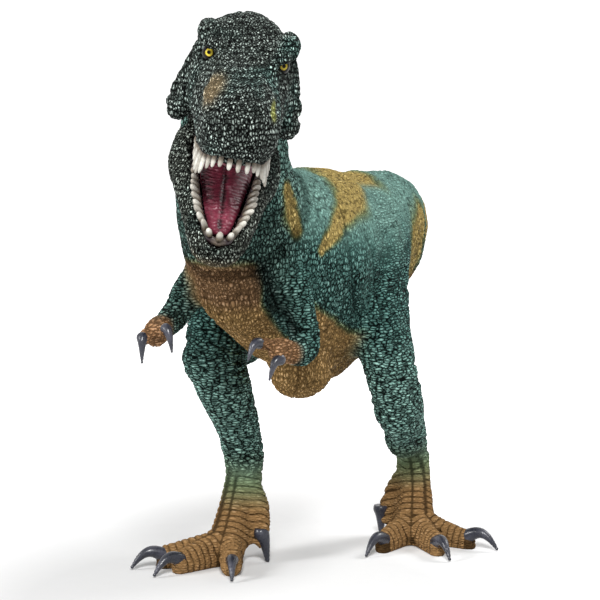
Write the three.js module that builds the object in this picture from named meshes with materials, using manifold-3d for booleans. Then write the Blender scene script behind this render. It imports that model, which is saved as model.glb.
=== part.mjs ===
// Striding toy dinosaur with a hinged lower jaw, in millimetres, +Z up.
// It faces -Y, its own left side is +X, and its feet stand on the plane Z = 0.

import * as THREE from 'three';
import { mergeVertices } from 'three/addons/utils/BufferGeometryUtils.js';
import Module from 'manifold-3d';

const wasm = await Module();
wasm.setup();

// Driving sizes of the body
const hipHeight = 78;
const torsoLength = 60;
const torsoWidth = 35;
const torsoDepth = 56;
const neckLength = 48;
const neckWidth = 29;
const neckDepth = 38;
const tailLength = 150;
const tailWidth = 28;
const tailDepth = 39;

// Driving sizes of the limbs
const thighWidth = 17.5;
const thighDepth = 30;
const toeWidth = 5.6;
const toeLength = 16;
const footClawLength = 8.5;
const footClawWidth = 3.1;
const armLength = 30;
const armWidth = 7.4;
const fingerLength = 6;
const handClawLength = 4.4;
const handClawWidth = 1.9;

// Driving sizes of the head
const headLength = 58;
const headWidth = 31;
const headHeight = 24;
const jawLength = 49;
const jawWidth = 27;
const jawHeight = 15;
const browWidth = 4.6;
const eyeDiameter = 4.2;
const toothLength = 5.6;
const toothWidth = 2;
const gumWidth = 2.2;
const gumHeight = 1.8;
const tongueWidth = 12;
const tongueHeight = 3.6;
const palateThickness = 1.4;
const pinDiameter = 3;
const barrelDiameter = 11;
const barrelWidth = 20;
const pinGrip = 2;
const lipWidth = 2.6;
const cheekWidth = 5.2;

// How the castings join
const seamGap = 0.3;
const jawGap = 0.5;
const spigotDiameter = 12;
const spigotLength = 6;
const overrun = 400;

// Pose of the head and of the open jaw, in degrees
const headTurn = 23.5;
const headNod = 12;
const headRoll = 11;
const jawOpen = 22.5;
const jawTravel = 10;

// Finishes
const finish = (color, roughness) => new THREE.MeshStandardMaterial({ color, roughness, metalness: 0 });
const bodyPlastic = finish(0x3c5f55, 0.55);
const headPlastic = finish(0x2f4a43, 0.55);
const clawPlastic = finish(0x3a3d45, 0.25);
const toothPlastic = finish(0xe2ddcd, 0.35);
const mouthPlastic = finish(0x3a1218, 0.45);
const tonguePlastic = finish(0x96324b, 0.35);
const eyePlastic = finish(0xd8b32a, 0.12);
const pinPlastic = finish(0x2b2f2e, 0.4);

const v3 = (x, y, z) => new THREE.Vector3(x, y, z);
const radians = THREE.MathUtils.degToRad;

// A closed geometry as a solid, and a solid as a geometry
function solidOf(geometry, place = new THREE.Matrix4()) {
  const bare = geometry.clone().applyMatrix4(place);
  bare.deleteAttribute('normal');
  bare.deleteAttribute('uv');
  const merged = mergeVertices(bare);
  const mesh = new wasm.Mesh({
    numProp: 3,
    vertProperties: new Float32Array(merged.attributes.position.array),
    triVerts: new Uint32Array(merged.index.array),
  });
  return new wasm.Manifold(mesh);
}

function geometryOf(solid) {
  const { numProp, vertProperties, triVerts } = solid.getMesh();
  const points = new Float32Array((vertProperties.length / numProp) * 3);
  for (let i = 0; i < points.length / 3; i += 1) {
    points.set(vertProperties.subarray(i * numProp, i * numProp + 3), i * 3);
  }
  const geometry = new THREE.BufferGeometry();
  geometry.setAttribute('position', new THREE.BufferAttribute(points, 3));
  geometry.setIndex(new THREE.BufferAttribute(new Uint32Array(triVerts), 1));
  return geometry;
}

const joined = solids => solids.reduce((sum, solid) => sum.add(solid));
const without = (solid, cutters) => cutters.reduce((left, cutter) => left.subtract(cutter), solid);

// Rows of numbers passed through smoothly, with a given number of rows out
function smoothRows(rows, count) {
  const last = rows.length - 1;
  const row = i => rows[Math.min(Math.max(i, 0), last)];
  return Array.from({ length: count }, (_, k) => {
    const t = (k * last) / (count - 1);
    const i = Math.min(Math.floor(t), last - 1);
    const f = t - i;
    return row(i).map((_, c) => {
      const [a, b, d, e] = [row(i - 1)[c], row(i)[c], row(i + 1)[c], row(i + 2)[c]];
      return b + 0.5 * f * (d - a + f * (2 * a - 5 * b + 4 * d - e + f * (3 * (b - d) + e - a)));
    });
  });
}

// Closed tube through stations of [x, y, z, half width, half depth, taper], widened by grow
function loft(rows, { sides = 16, rings = 12, hint = v3(1, 0, 0), square = 1, cap = 0.35, grow = 0 }) {
  const stations = smoothRows(rows, rings);
  const centres = stations.map(s => v3(s[0], s[1], s[2]));
  const rim = [];
  const poles = [];
  const tangentAt = i => {
    const [before, after] = [centres[Math.max(i - 1, 0)], centres[Math.min(i + 1, rings - 1)]];
    return after.clone().sub(before).normalize();
  };
  const ringAt = (centre, tangent, wide, deep, taper) => {
    const side = hint.clone().addScaledVector(tangent, -hint.dot(tangent)).normalize();
    const up = tangent.clone().cross(side);
    return Array.from({ length: sides }, (_, k) => {
      const angle = (2 * Math.PI * k) / sides;
      const [c, s] = [Math.cos(angle), Math.sin(angle)];
      const across = Math.sign(c) * Math.abs(c) ** square * wide * (1 + taper * s);
      const along = Math.sign(s) * Math.abs(s) ** square * deep;
      return centre.clone().addScaledVector(side, across).addScaledVector(up, along);
    });
  };
  stations.forEach((s, i) => {
    const tangent = tangentAt(i);
    const [wide, deep, taper] = [s[3] + grow, s[4] + grow, s[5] ?? 0];
    const end = i === 0 ? -1 : i === rings - 1 ? 1 : 0;
    const reach = cap * Math.min(wide, deep) + grow;
    const ring = ringAt(centres[i], tangent, wide, deep, taper);
    const shoulder = centres[i].clone().addScaledVector(tangent, end * reach * 0.7);
    if (end) poles.push(centres[i].clone().addScaledVector(tangent, end * reach));
    const capRing = ringAt(shoulder, tangent, wide * 0.68, deep * 0.68, taper);
    if (end < 0) rim.push(capRing);
    rim.push(ring);
    if (end > 0) rim.push(capRing);
  });
  const points = [...rim.flat(), ...poles];
  const faces = [];
  for (let r = 0; r < rim.length - 1; r += 1) {
    for (let k = 0; k < sides; k += 1) {
      const [a, b] = [r * sides + k, r * sides + ((k + 1) % sides)];
      faces.push(a, b, b + sides, a, b + sides, a + sides);
    }
  }
  const far = (rim.length - 1) * sides;
  for (let k = 0; k < sides; k += 1) {
    const next = (k + 1) % sides;
    faces.push(points.length - 2, next, k, points.length - 1, far + k, far + next);
  }
  return facesOut(points, faces);
}

// Geometry from points and faces, with its faces turned outwards
function facesOut(points, faces) {
  let volume = 0;
  for (let i = 0; i < faces.length; i += 3) {
    const [a, b, c] = [points[faces[i]], points[faces[i + 1]], points[faces[i + 2]]];
    volume += a.dot(b.clone().cross(c));
  }
  const turned = volume < 0 ? faces.slice().reverse() : faces;
  const geometry = new THREE.BufferGeometry().setFromPoints(points);
  geometry.setIndex(turned);
  return geometry;
}

const egg = (centre, radii, sides = 16, grow = 0) =>
  new THREE.SphereGeometry(1, sides, Math.round(sides * 0.7))
    .scale(radii[0] + grow, radii[1] + grow, radii[2] + grow)
    .translate(...centre);

// Solid half space beyond a point along a direction
function beyond(point, direction, shift = 0) {
  const box = new THREE.BoxGeometry(overrun, overrun, overrun).translate(0, 0, overrun / 2 + shift);
  const turn = new THREE.Quaternion().setFromUnitVectors(v3(0, 0, 1), direction.clone().normalize());
  return solidOf(box.applyQuaternion(turn).translate(...point));
}

// Round spigot along a direction, from inside one casting into the next
function spigot(point, direction, grow = 0) {
  const radius = spigotDiameter / 2 + grow;
  const rod = new THREE.CylinderGeometry(radius, radius, 2 * (spigotLength + grow), 16);
  const turn = new THREE.Quaternion().setFromUnitVectors(v3(0, 1, 0), direction.clone().normalize());
  return solidOf(rod.applyQuaternion(turn).translate(...point));
}

// Torso from the hips to the chest: forward, side, middle height, half width, half depth
const torsoShares = [
  [-0.43, -0.01, 0.99, 0.37, 0.32, 0],
  [-0.2, 0, 0.965, 0.44, 0.385, 0.05],
  [0.07, 0, 0.915, 0.475, 0.468, 0.15],
  [0.33, 0.02, 0.941, 0.49, 0.468, 0.22],
  [0.6, 0.02, 0.988, 0.485, 0.427, 0.2],
  [0.83, 0, 1.045, 0.44, 0.385, 0.15],
  [1.02, -0.02, 1.08, 0.37, 0.33, 0.1],
];
const torsoRows = torsoShares.map(([forward, side, height, wide, deep, taper]) => [
  side * torsoWidth, -forward * torsoLength, height * hipHeight, wide * torsoWidth, deep * torsoDepth, taper,
]);
const torsoLoft = grow => solidOf(loft(torsoRows, { sides: 20, rings: 12, cap: 0.4, grow }));

// Neck from inside the chest up to the skull: side, forward, up from its root, half sizes
const neckRoot = v3(-0.03 * torsoWidth, -0.8 * torsoLength, 1.05 * hipHeight);
const neckShares = [
  [0, 0, 0, 0.53, 0.55],
  [0, 0.19, 0.19, 0.5, 0.49],
  [0, 0.31, 0.4, 0.46, 0.42],
  [0.03, 0.38, 0.6, 0.425, 0.36],
  [0.07, 0.42, 0.81, 0.39, 0.32],
  [0.1, 0.46, 0.98, 0.34, 0.27],
];
const neckRows = neckShares.map(([side, forward, up, wide, deep]) => [
  neckRoot.x + side * neckLength,
  neckRoot.y - forward * neckLength,
  neckRoot.z + up * neckLength,
  wide * neckWidth,
  deep * neckDepth,
]);
const neckLoft = grow => solidOf(loft(neckRows, { sides: 18, rings: 8, grow }));

// Tail from inside the hips to its tip, bending to the figure's right
const tailRoot = v3(0, 0.23 * torsoLength, 0.975 * hipHeight);
const tailShares = [
  [0, 0, 0, 0.52, 0.51],
  [-0.01, 0.12, 0.007, 0.48, 0.455],
  [-0.036, 0.24, 0.01, 0.45, 0.395],
  [-0.09, 0.38, 0, 0.375, 0.325],
  [-0.18, 0.53, -0.02, 0.295, 0.255],
  [-0.27, 0.67, -0.043, 0.22, 0.19],
  [-0.36, 0.8, -0.06, 0.155, 0.13],
  [-0.45, 0.9, -0.063, 0.1, 0.083],
  [-0.535, 0.98, -0.05, 0.045, 0.038],
];
const tailRows = tailShares.map(([side, back, up, wide, deep]) => [
  tailRoot.x + side * tailLength,
  tailRoot.y + back * tailLength,
  tailRoot.z + up * tailLength,
  wide * tailWidth,
  deep * tailDepth,
]);
const tailLoft = grow => solidOf(loft(tailRows, { sides: 14, rings: 17, cap: 0.6, grow }));

// Legs from the hips to the ball of the foot, as shares of the hip height, and their half sizes
const leftLegShares = [
  [0.13, 0.03, 1.08, 0.36, 0.4],
  [0.14, 0.01, 0.97, 0.42, 0.55],
  [0.155, -0.03, 0.84, 0.41, 0.52],
  [0.2, -0.095, 0.715, 0.4, 0.43],
  [0.262, -0.15, 0.605, 0.36, 0.32],
  [0.262, -0.11, 0.52, 0.355, 0.275],
  [0.226, 0.065, 0.42, 0.27, 0.215],
  [0.2, 0.2, 0.33, 0.245, 0.17],
  [0.186, 0.25, 0.27, 0.265, 0.16],
  [0.198, 0.235, 0.19, 0.24, 0.135],
  [0.214, 0.19, 0.115, 0.275, 0.15],
  [0.224, 0.15, 0.068, 0.31, 0.13],
];
const rightLegShares = [
  [-0.13, 0.03, 1.08, 0.36, 0.4],
  [-0.14, -0.04, 0.97, 0.42, 0.56],
  [-0.175, -0.17, 0.86, 0.44, 0.55],
  [-0.25, -0.33, 0.755, 0.46, 0.47],
  [-0.257, -0.405, 0.68, 0.46, 0.34],
  [-0.225, -0.4, 0.6, 0.4, 0.275],
  [-0.228, -0.31, 0.49, 0.33, 0.22],
  [-0.237, -0.22, 0.375, 0.305, 0.18],
  [-0.237, -0.186, 0.3, 0.3, 0.17],
  [-0.237, -0.235, 0.205, 0.25, 0.14],
  [-0.228, -0.3, 0.12, 0.28, 0.15],
  [-0.22, -0.35, 0.068, 0.31, 0.13],
];
const legRows = shares => shares.map(([x, y, z, wide, deep]) => [
  x * hipHeight, y * hipHeight, z * hipHeight, wide * thighWidth, deep * thighDepth,
]);
const legLoft = (rows, grow) => solidOf(loft(rows, { sides: 12, rings: 14, cap: 0.5, grow }));

// Toes: turn from straight ahead towards the figure's left, length and start height
const leftToeShares = [[-12, 1, 0], [42, 1.12, 0], [83, 1.1, 0]];
const rightToeShares = [[-50, 1.2, 0], [-27, 1.12, 0], [24, 0.9, 0]];
const toeRadius = toeWidth / 2;

// One toe on the ground with three knuckles, and its claw beyond it
function toeRows(ball, turn, length) {
  const ahead = v3(Math.sin(radians(turn)), -Math.cos(radians(turn)), 0);
  const knuckleShares = [
    [0, 1.3, 1.05],
    [0.28, 1.12, 1.12],
    [0.46, 0.95, 0.92],
    [0.64, 1.02, 1.05],
    [0.8, 0.9, 0.86],
    [0.97, 0.92, 0.92],
  ];
  return knuckleShares.map(([along, wide, high]) => {
    const point = ball.clone().addScaledVector(ahead, along * length);
    return [point.x, point.y, (high - 0.12) * toeRadius, wide * toeRadius, high * toeRadius];
  });
}

// Curved claw: its root, where it points, its length and its width
function clawRows(root, ahead, droop, length, width) {
  const clawShares = [[-0.15, 0.8], [0.1, 1], [0.35, 0.92], [0.62, 0.68], [0.84, 0.4], [1, 0.14]];
  const down = v3(0, 0, -1);
  return clawShares.map(([along, thick]) => {
    const point = root.clone().addScaledVector(ahead, along * length);
    point.addScaledVector(down, droop * length * along * along);
    return [point.x, point.y, point.z, (thick * width) / 2, (thick * width * 1.15) / 2];
  });
}
const clawLoft = (rows, hint, grow) => solidOf(loft(rows, { sides: 6, rings: 5, hint, cap: 0.4, grow }));
const flatUnder = solid => without(solid, [beyond(v3(0, 0, 0), v3(0, 0, -1))]);

// A foot: three toes and a small inner toe, each with its claw
function foot(ball, ankle, toeShares, innerSide) {
  const toes = [];
  const claws = [];
  toeShares.forEach(([turn, share]) => {
    const length = toeLength * share;
    const rows = toeRows(ball, turn, length);
    const ahead = v3(Math.sin(radians(turn)), -Math.cos(radians(turn)), 0);
    const hint = ahead.clone().cross(v3(0, 0, 1));
    const root = ball.clone().addScaledVector(ahead, length).setZ(toeRadius * 1.05);
    const claw = clawRows(root, ahead, 0.14, footClawLength, footClawWidth);
    toes.push(solidOf(loft(rows, { sides: 8, rings: 7, hint, cap: 0.5 })));
    claws.push([claw, hint]);
  });
  const innerToeShares = [
    [0.1, 0, 0.3, 1.05],
    [0.75, 0.15, 0, 1],
    [1.25, 0.1, -0.55, 0.82],
    [1.5, 0, -1, 0.78],
  ];
  const innerRows = innerToeShares.map(([out, back, up, thick]) => [
    ankle.x + innerSide * out * toeWidth,
    ankle.y + back * toeWidth,
    ankle.z + up * toeWidth,
    (thick * toeWidth) / 2.3,
    (thick * toeWidth) / 2.3,
  ]);
  const last = innerRows[innerRows.length - 1];
  const innerAhead = v3(innerSide * 0.25, -0.1, -1).normalize();
  const innerHint = v3(0, 1, 0);
  const innerRoot = v3(last[0], last[1], last[2]);
  const innerLength = Math.min(footClawLength * 0.72, innerRoot.z * 0.9);
  toes.push(solidOf(loft(innerRows, { sides: 8, rings: 5, hint: innerHint, cap: 0.5 })));
  claws.push([clawRows(innerRoot, innerAhead, 0, innerLength, footClawWidth * 0.85), innerHint]);
  return { toes: joined(toes), claws };
}

// Arms from inside the shoulder to the palm: side, forward and up from the shoulder, half size
const shoulderPoint = side => v3(side * 0.29 * torsoWidth, -0.94 * torsoLength, 0.97 * hipHeight);
const leftArmShares = [
  [-0.1, -0.06, 0.13, 0.62],
  [0, -0.05, 0, 0.62],
  [0.08, -0.06, -0.28, 0.54],
  [0.12, -0.11, -0.48, 0.47],
  [0.125, 0, -0.53, 0.43],
  [0.09, 0.2, -0.5, 0.38],
  [0.07, 0.36, -0.45, 0.38],
];
const rightArmShares = [
  [0.08, 0.1, 0.12, 0.62],
  [-0.04, 0.1, 0.02, 0.6],
  [-0.16, 0.08, -0.16, 0.53],
  [-0.21, 0.12, -0.27, 0.47],
  [-0.2, 0.32, -0.31, 0.41],
  [-0.17, 0.52, -0.32, 0.37],
  [-0.13, 0.7, -0.34, 0.37],
];
const armRows = (side, shares) => {
  const start = shoulderPoint(side);
  return shares.map(([across, forward, up, thick]) => [
    start.x + across * armLength,
    start.y - forward * armLength,
    start.z + up * armLength,
    thick * armWidth,
    thick * armWidth * 1.12,
  ]);
};
const armLoft = (rows, grow) => solidOf(loft(rows, { sides: 10, rings: 10, cap: 0.6, grow }));

// Two fingers from the wrist, where each ends, and how its claw points
function hand(rows, reachShares) {
  const wrist = v3(...rows[rows.length - 1].slice(0, 3));
  const thick = armWidth * 0.24;
  return reachShares.map(([tipShares, clawAim]) => {
    const reach = v3(...tipShares).multiplyScalar(fingerLength);
    const hint = reach.clone().cross(v3(0, 0, 1)).normalize();
    const fingerShares = [[0, 0, 1.1], [0.35, 0.14, 1], [0.7, 0.12, 0.88], [1, 0, 0.8]];
    const finger = fingerShares.map(([along, up, size]) => {
      const point = wrist.clone().addScaledVector(reach, along);
      return [point.x, point.y, point.z + up * fingerLength, size * thick, size * thick];
    });
    const aim = v3(...clawAim).normalize();
    const claw = clawRows(wrist.clone().add(reach), aim, 0.12, handClawLength, handClawWidth);
    return { finger: solidOf(loft(finger, { sides: 8, rings: 5, hint, cap: 0.6 })), claw, hint };
  });
}

// Fingers of each hand: the tip from the wrist, and the way its claw points
const leftHandShares = [
  [[-0.42, -1.1, 0.28], [-0.25, -0.85, -0.4]],
  [[0.22, -0.55, -0.42], [-0.35, -0.75, -0.65]],
];
const rightHandShares = [
  [[-0.06, -1.05, -0.12], [0.2, -0.5, -1]],
  [[0.8, -0.65, 0.22], [0.55, -0.4, -0.8]],
];

// The head has its own frame: its origin at the back of the skull on the lip line
const headPlace = new THREE.Matrix4()
  .makeRotationFromEuler(new THREE.Euler(radians(headNod), radians(headRoll), radians(headTurn), 'ZXY'))
  .setPosition(
    neckRoot.x + 0.06 * neckLength,
    neckRoot.y - 0.39 * neckLength,
    neckRoot.z + 0.86 * neckLength,
  );

// Skull from back to snout: forward, top, underside, half width, taper of the sides
const skullShares = [
  [0.05, 0.75, -0.1, 0.335, -0.16],
  [0.16, 0.79, -0.24, 0.385, -0.27],
  [0.25, 0.745, -0.27, 0.385, -0.3],
  [0.34, 0.655, -0.24, 0.36, -0.26],
  [0.45, 0.58, -0.24, 0.325, -0.22],
  [0.62, 0.53, -0.27, 0.298, -0.18],
  [0.78, 0.51, -0.25, 0.28, -0.15],
  [0.9, 0.46, -0.17, 0.245, -0.08],
  [0.965, 0.35, -0.07, 0.17, 0],
];
const skullRows = skullShares.map(([forward, top, under, wide, taper]) => [
  0,
  -forward * headLength,
  ((top + under) / 2) * headHeight,
  wide * headWidth,
  ((top - under) / 2) * headHeight,
  taper,
]);
const skullLoft = grow => solidOf(loft(skullRows, { sides: 20, rings: 14, square: 0.82, grow }));

const browPoint = side => [side * 0.285 * headWidth, -0.31 * headLength, 0.64 * headHeight];
const browRadii = [browWidth * 0.6, browWidth * 1.3, browWidth * 0.5];
const cheekPoint = side => [side * 0.385 * headWidth, -0.22 * headLength, -0.16 * headHeight];
const cheekRadii = [cheekWidth * 0.68, cheekWidth, cheekWidth * 0.7];
const eyePoint = side => [side * 0.25 * headWidth, -0.365 * headLength, 0.46 * headHeight];
const eyeRadii = [eyeDiameter / 2, eyeDiameter / 2, eyeDiameter / 2];

// The jaw hinge lies across the back of the skull
const hingePoint = v3(0, -0.17 * headLength, -0.125 * headHeight);
const hingePlace = new THREE.Matrix4()
  .makeRotationX(radians(jawOpen))
  .setPosition(hingePoint);
const acrossHead = (radius, width) =>
  new THREE.CylinderGeometry(radius, radius, width, 20).rotateZ(Math.PI / 2);

// Lower jaw from the hinge to the chin: forward, top, underside, half width, taper
const jawShares = [
  [0.08, -0.1, -0.78, 0.43, 0.02],
  [0.24, -0.12, -0.88, 0.49, 0.04],
  [0.4, -0.06, -0.8, 0.45, 0.06],
  [0.56, -0.01, -0.68, 0.375, 0.06],
  [0.72, 0, -0.62, 0.31, 0.06],
  [0.86, 0, -0.59, 0.25, 0.05],
  [0.95, -0.02, -0.5, 0.17, 0],
];
const jawRows = jawShares.map(([forward, top, under, wide, taper]) => [
  0,
  -forward * jawLength,
  ((top + under) / 2) * jawHeight,
  wide * jawWidth,
  ((top - under) / 2) * jawHeight,
  taper,
]);
const jawLoft = grow => solidOf(loft(jawRows, { sides: 20, rings: 12, square: 0.85, grow }));

// Points of a tooth row: a U open to the back, from its front point and its half widths
function archPoints(archShares, length, width, height) {
  const half = archShares.map(([forward, across, up]) => [across * width, -forward * length, up * height]);
  const other = half.slice(0, -1).reverse().map(([x, y, z]) => [-x, y, z]);
  return new THREE.CatmullRomCurve3([...half, ...other].map(p => v3(...p)), false, 'centripetal');
}
const upperArchShares = [
  [0.36, 0.29, -0.1],
  [0.5, 0.265, -0.13],
  [0.68, 0.24, -0.15],
  [0.84, 0.2, -0.12],
  [0.92, 0.115, -0.07],
  [0.938, 0, -0.06],
];
const lowerArchShares = [
  [0.46, 0.26, 0],
  [0.58, 0.225, 0],
  [0.72, 0.185, 0],
  [0.85, 0.138, 0],
  [0.93, 0.08, 0],
  [0.95, 0, 0],
];
const upperArch = archPoints(upperArchShares, headLength, headWidth, headHeight);
const lowerArch = archPoints(lowerArchShares, jawLength, jawWidth, jawHeight);

// Gum bar along an arch, lying to one side of the curve
function gumBar(arch, upDown, grow = 0, shift = 0) {
  const steps = 18;
  const rows = arch.getSpacedPoints(steps).map(p => [
    p.x, p.y, p.z + upDown * gumHeight * (0.3 + shift), gumWidth / 2, gumHeight / 2,
  ]);
  return solidOf(tubeAlong(rows, grow));
}

// Square tube with level sides along rows of [x, y, z, half width, half height]
function tubeAlong(rows, grow) {
  const sides = 4;
  const points = [];
  const faces = [];
  rows.forEach((row, i) => {
    const here = v3(row[0], row[1], row[2]);
    const before = v3(...rows[Math.max(i - 1, 0)].slice(0, 3));
    const after = v3(...rows[Math.min(i + 1, rows.length - 1)].slice(0, 3));
    const ahead = after.sub(before).setZ(0).normalize();
    const side = v3(ahead.y, -ahead.x, 0);
    const end = i === 0 ? -grow : i === rows.length - 1 ? grow : 0;
    for (const [across, up] of [[1, 1], [-1, 1], [-1, -1], [1, -1]]) {
      const point = here.clone().addScaledVector(ahead, end);
      point.addScaledVector(side, across * (row[3] + grow));
      points.push(point.add(v3(0, 0, up * (row[4] + grow))));
    }
    if (i === 0) return;
    const start = (i - 1) * sides;
    for (let k = 0; k < sides; k += 1) {
      const [a, b] = [start + k, start + ((k + 1) % sides)];
      faces.push(a, b, b + sides, a, b + sides, a + sides);
    }
  });
  const far = (rows.length - 1) * sides;
  for (let k = 1; k < sides - 1; k += 1) {
    faces.push(0, k + 1, k, far, far + k, far + k + 1);
  }
  return facesOut(points, faces);
}

// Pointed teeth along an arch, each of its own length
function toothRow(arch, count, upDown, lengthShares) {
  return Array.from({ length: count }, (_, i) => {
    const along = (i + 0.5) / count;
    const centre = arch.getPointAt(along);
    const place = Math.abs(2 * along - 1) * (lengthShares.length - 1);
    const [low, high] = [Math.floor(place), Math.min(Math.floor(place) + 1, lengthShares.length - 1)];
    const share = THREE.MathUtils.lerp(lengthShares[low], lengthShares[high], place - low);
    const length = toothLength * share;
    const outlineShares = [[0, -0.2], [1, -0.2], [0.85, 0.5], [0, 1]];
    const outline = outlineShares.map(([out, up]) => new THREE.Vector2((out * toothWidth) / 2, up * length));
    const tangent = arch.getTangentAt(along);
    const tooth = new THREE.LatheGeometry(outline, 6).rotateX((upDown * Math.PI) / 2).scale(1, 0.75, 1);
    tooth.rotateZ(Math.atan2(tangent.y, tangent.x));
    return solidOf(tooth.translate(centre.x, centre.y, centre.z));
  });
}

// Upper and lower tooth lengths from the front of the mouth to its back
const upperLengthShares = [0.64, 0.74, 1.05, 1.2, 0.9, 0.6, 0.4];
const lowerLengthShares = [0.6, 0.78, 0.85, 0.72, 0.55, 0.4];
const upperTeethCount = 24;
const lowerTeethCount = 20;

// Hollow of the lower jaw, and the tongue that lies in it
const troughRows = jawRows.slice(1).map(([x, y, z, wide, deep, taper]) => [
  x, y + 0.02 * jawLength, z + 1.15 * deep, Math.max(wide - lipWidth, 0.3 * wide), 0.8 * deep, taper,
]);
const trough = () => solidOf(loft(troughRows, { sides: 14, rings: 9, square: 0.8, cap: 0.5 }));
const tongueShares = [
  [0.22, -0.17, 0.52, 0.42],
  [0.4, -0.14, 0.5, 0.5],
  [0.58, -0.11, 0.4, 0.48],
  [0.74, -0.1, 0.29, 0.42],
  [0.85, -0.12, 0.17, 0.34],
];
const tongueRows = tongueShares.map(([forward, height, wide, high]) => [
  0, -forward * jawLength, height * jawHeight, wide * tongueWidth, high * tongueHeight,
]);
const tongueLoft = grow => solidOf(loft(tongueRows, { sides: 12, rings: 8, cap: 0.5, grow }));

// Vault under the skull, and the ridged plate that lines it
const vaultShares = [
  [0.32, -0.26, 0.2, 0.2],
  [0.45, -0.25, 0.22, 0.2],
  [0.62, -0.27, 0.2, 0.2],
  [0.78, -0.26, 0.165, 0.2],
  [0.86, -0.22, 0.13, 0.2],
];
const vaultLoft = (drop, grow) => solidOf(loft(
  vaultShares.map(([forward, height, wide, high]) => [
    0, -forward * headLength, height * headHeight - drop, wide * headWidth, high * headHeight,
  ]),
  { sides: 16, rings: 8, square: 0.8, cap: 0.5, grow },
));

// Raw limbs and the rounded roots that plug into the body
const leftLegRows = legRows(leftLegShares);
const rightLegRows = legRows(rightLegShares);
const leftArmRows = armRows(1, leftArmShares);
const rightArmRows = armRows(-1, rightArmShares);
const hipRoot = (side, grow) =>
  solidOf(egg(
    [side * 0.37 * torsoWidth, -0.03 * torsoLength, 0.97 * hipHeight],
    [thighWidth * 0.6, thighDepth * 0.66, thighDepth * 0.7], 16, grow,
  ));
const shoulderRoot = (side, grow) =>
  solidOf(egg(shoulderPoint(side).toArray(), [armWidth * 0.75, armWidth * 0.85, armWidth * 0.95], 12, grow));

const ballOf = rows => v3(rows[rows.length - 1][0], rows[rows.length - 1][1], 0);
const ankleOf = rows => v3(...rows[rows.length - 2].slice(0, 3));
const leftFoot = foot(ballOf(leftLegRows), ankleOf(leftLegRows), leftToeShares, -1);
const rightFoot = foot(ballOf(rightLegRows), ankleOf(rightLegRows), rightToeShares, 1);
const leftHand = hand(leftArmRows, leftHandShares);
const rightHand = hand(rightArmRows, rightHandShares);

// The whole skin before it is divided into castings
const leftLegRaw = legLoft(leftLegRows, 0).add(leftFoot.toes);
const rightLegRaw = legLoft(rightLegRows, 0).add(rightFoot.toes);
const leftArmRaw = armLoft(leftArmRows, 0).add(joined(leftHand.map(part => part.finger)));
const rightArmRaw = armLoft(rightArmRows, 0).add(joined(rightHand.map(part => part.finger)));
const core = joined([torsoLoft(0), neckLoft(0), tailLoft(0)]);

// Where the tail and neck castings meet the body
const tailSeam = v3(...tailRows[1].slice(0, 3));
const tailSeamAim = v3(0, 1, 0);
const tailSplitAim = v3(...tailRows[4].slice(0, 3)).sub(v3(...tailRows[3].slice(0, 3))).normalize();
const tailSplit = v3(...tailRows[4].slice(0, 3));
const neckSeam = v3(...neckRows[1].slice(0, 3));
const neckSeamAim = v3(...neckRows[2].slice(0, 3)).sub(v3(...neckRows[0].slice(0, 3))).normalize();

const skullOuter = grow => joined([
  skullLoft(grow),
  ...[-1, 1].map(side => solidOf(egg(browPoint(side), browRadii, 12, grow))),
  ...[-1, 1].map(side => solidOf(egg(cheekPoint(side), cheekRadii, 12, grow))),
]);
const jawBarrel = grow => solidOf(acrossHead(barrelDiameter / 2 + grow, barrelWidth + 2 * grow));
const jawOuter = grow => jawLoft(grow).add(jawBarrel(grow));
const inHead = (solid, place) => solidOf(geometryOf(solid), place);
const jawInWorld = new THREE.Matrix4().multiplyMatrices(headPlace, hingePlace);

// Castings of the body
const bodyBeyondNeck = beyond(neckSeam, neckSeamAim);
const bodyBeyondNeckGap = beyond(neckSeam, neckSeamAim, -seamGap);
const tailBeyond = beyond(tailSeam, tailSeamAim);
const tailBeyondGap = beyond(tailSeam, tailSeamAim, -seamGap);
const tipBeyond = beyond(tailSplit, tailSplitAim);
const tipBeyondGap = beyond(tailSplit, tailSplitAim, -seamGap);

const torso = without(core, [
  bodyBeyondNeckGap,
  tailBeyondGap,
  legLoft(leftLegRows, seamGap),
  legLoft(rightLegRows, seamGap),
  hipRoot(1, seamGap),
  hipRoot(-1, seamGap),
  shoulderRoot(1, seamGap),
  shoulderRoot(-1, seamGap),
  armLoft(leftArmRows, seamGap),
  armLoft(rightArmRows, seamGap),
  spigot(neckSeam, neckSeamAim, seamGap),
  spigot(tailSeam, tailSeamAim, seamGap),
]);
const neckRaw = core.intersect(bodyBeyondNeck).add(spigot(neckSeam, neckSeamAim));
const neck = without(neckRaw, [
  inHead(skullOuter(seamGap), headPlace),
  inHead(jawOuter(jawGap), jawInWorld),
]);
const tailFront = without(core.intersect(tailBeyond).add(spigot(tailSeam, tailSeamAim)), [
  tipBeyondGap,
  spigot(tailSplit, tailSplitAim, seamGap),
]);
const tailRear = core.intersect(tipBeyond).add(spigot(tailSplit, tailSplitAim));

function limb(raw, root, claws) {
  const whole = core.intersect(root).add(raw);
  return without(whole, claws.map(([rows, hint]) => clawLoft(rows, hint, seamGap)));
}
const clawPairs = parts => parts.map(part => [part.claw, part.hint]);
const leftLeg = flatUnder(limb(leftLegRaw, hipRoot(1, 0), leftFoot.claws));
const rightLeg = flatUnder(limb(rightLegRaw, hipRoot(-1, 0), rightFoot.claws));
const leftArm = limb(leftArmRaw, shoulderRoot(1, 0), clawPairs(leftHand));
const rightArm = limb(rightArmRaw, shoulderRoot(-1, 0), clawPairs(rightHand));

// Where the lower jaw passes as it closes, in the head's own frame
const swingSteps = 2;
const jawSwing = grow => Array.from({ length: swingSteps + 1 }, (_, i) => {
  const closing = new THREE.Matrix4().makeRotationX((-radians(jawTravel) * i) / swingSteps);
  return inHead(jawOuter(grow), new THREE.Matrix4().multiplyMatrices(hingePlace, closing));
});

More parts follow.
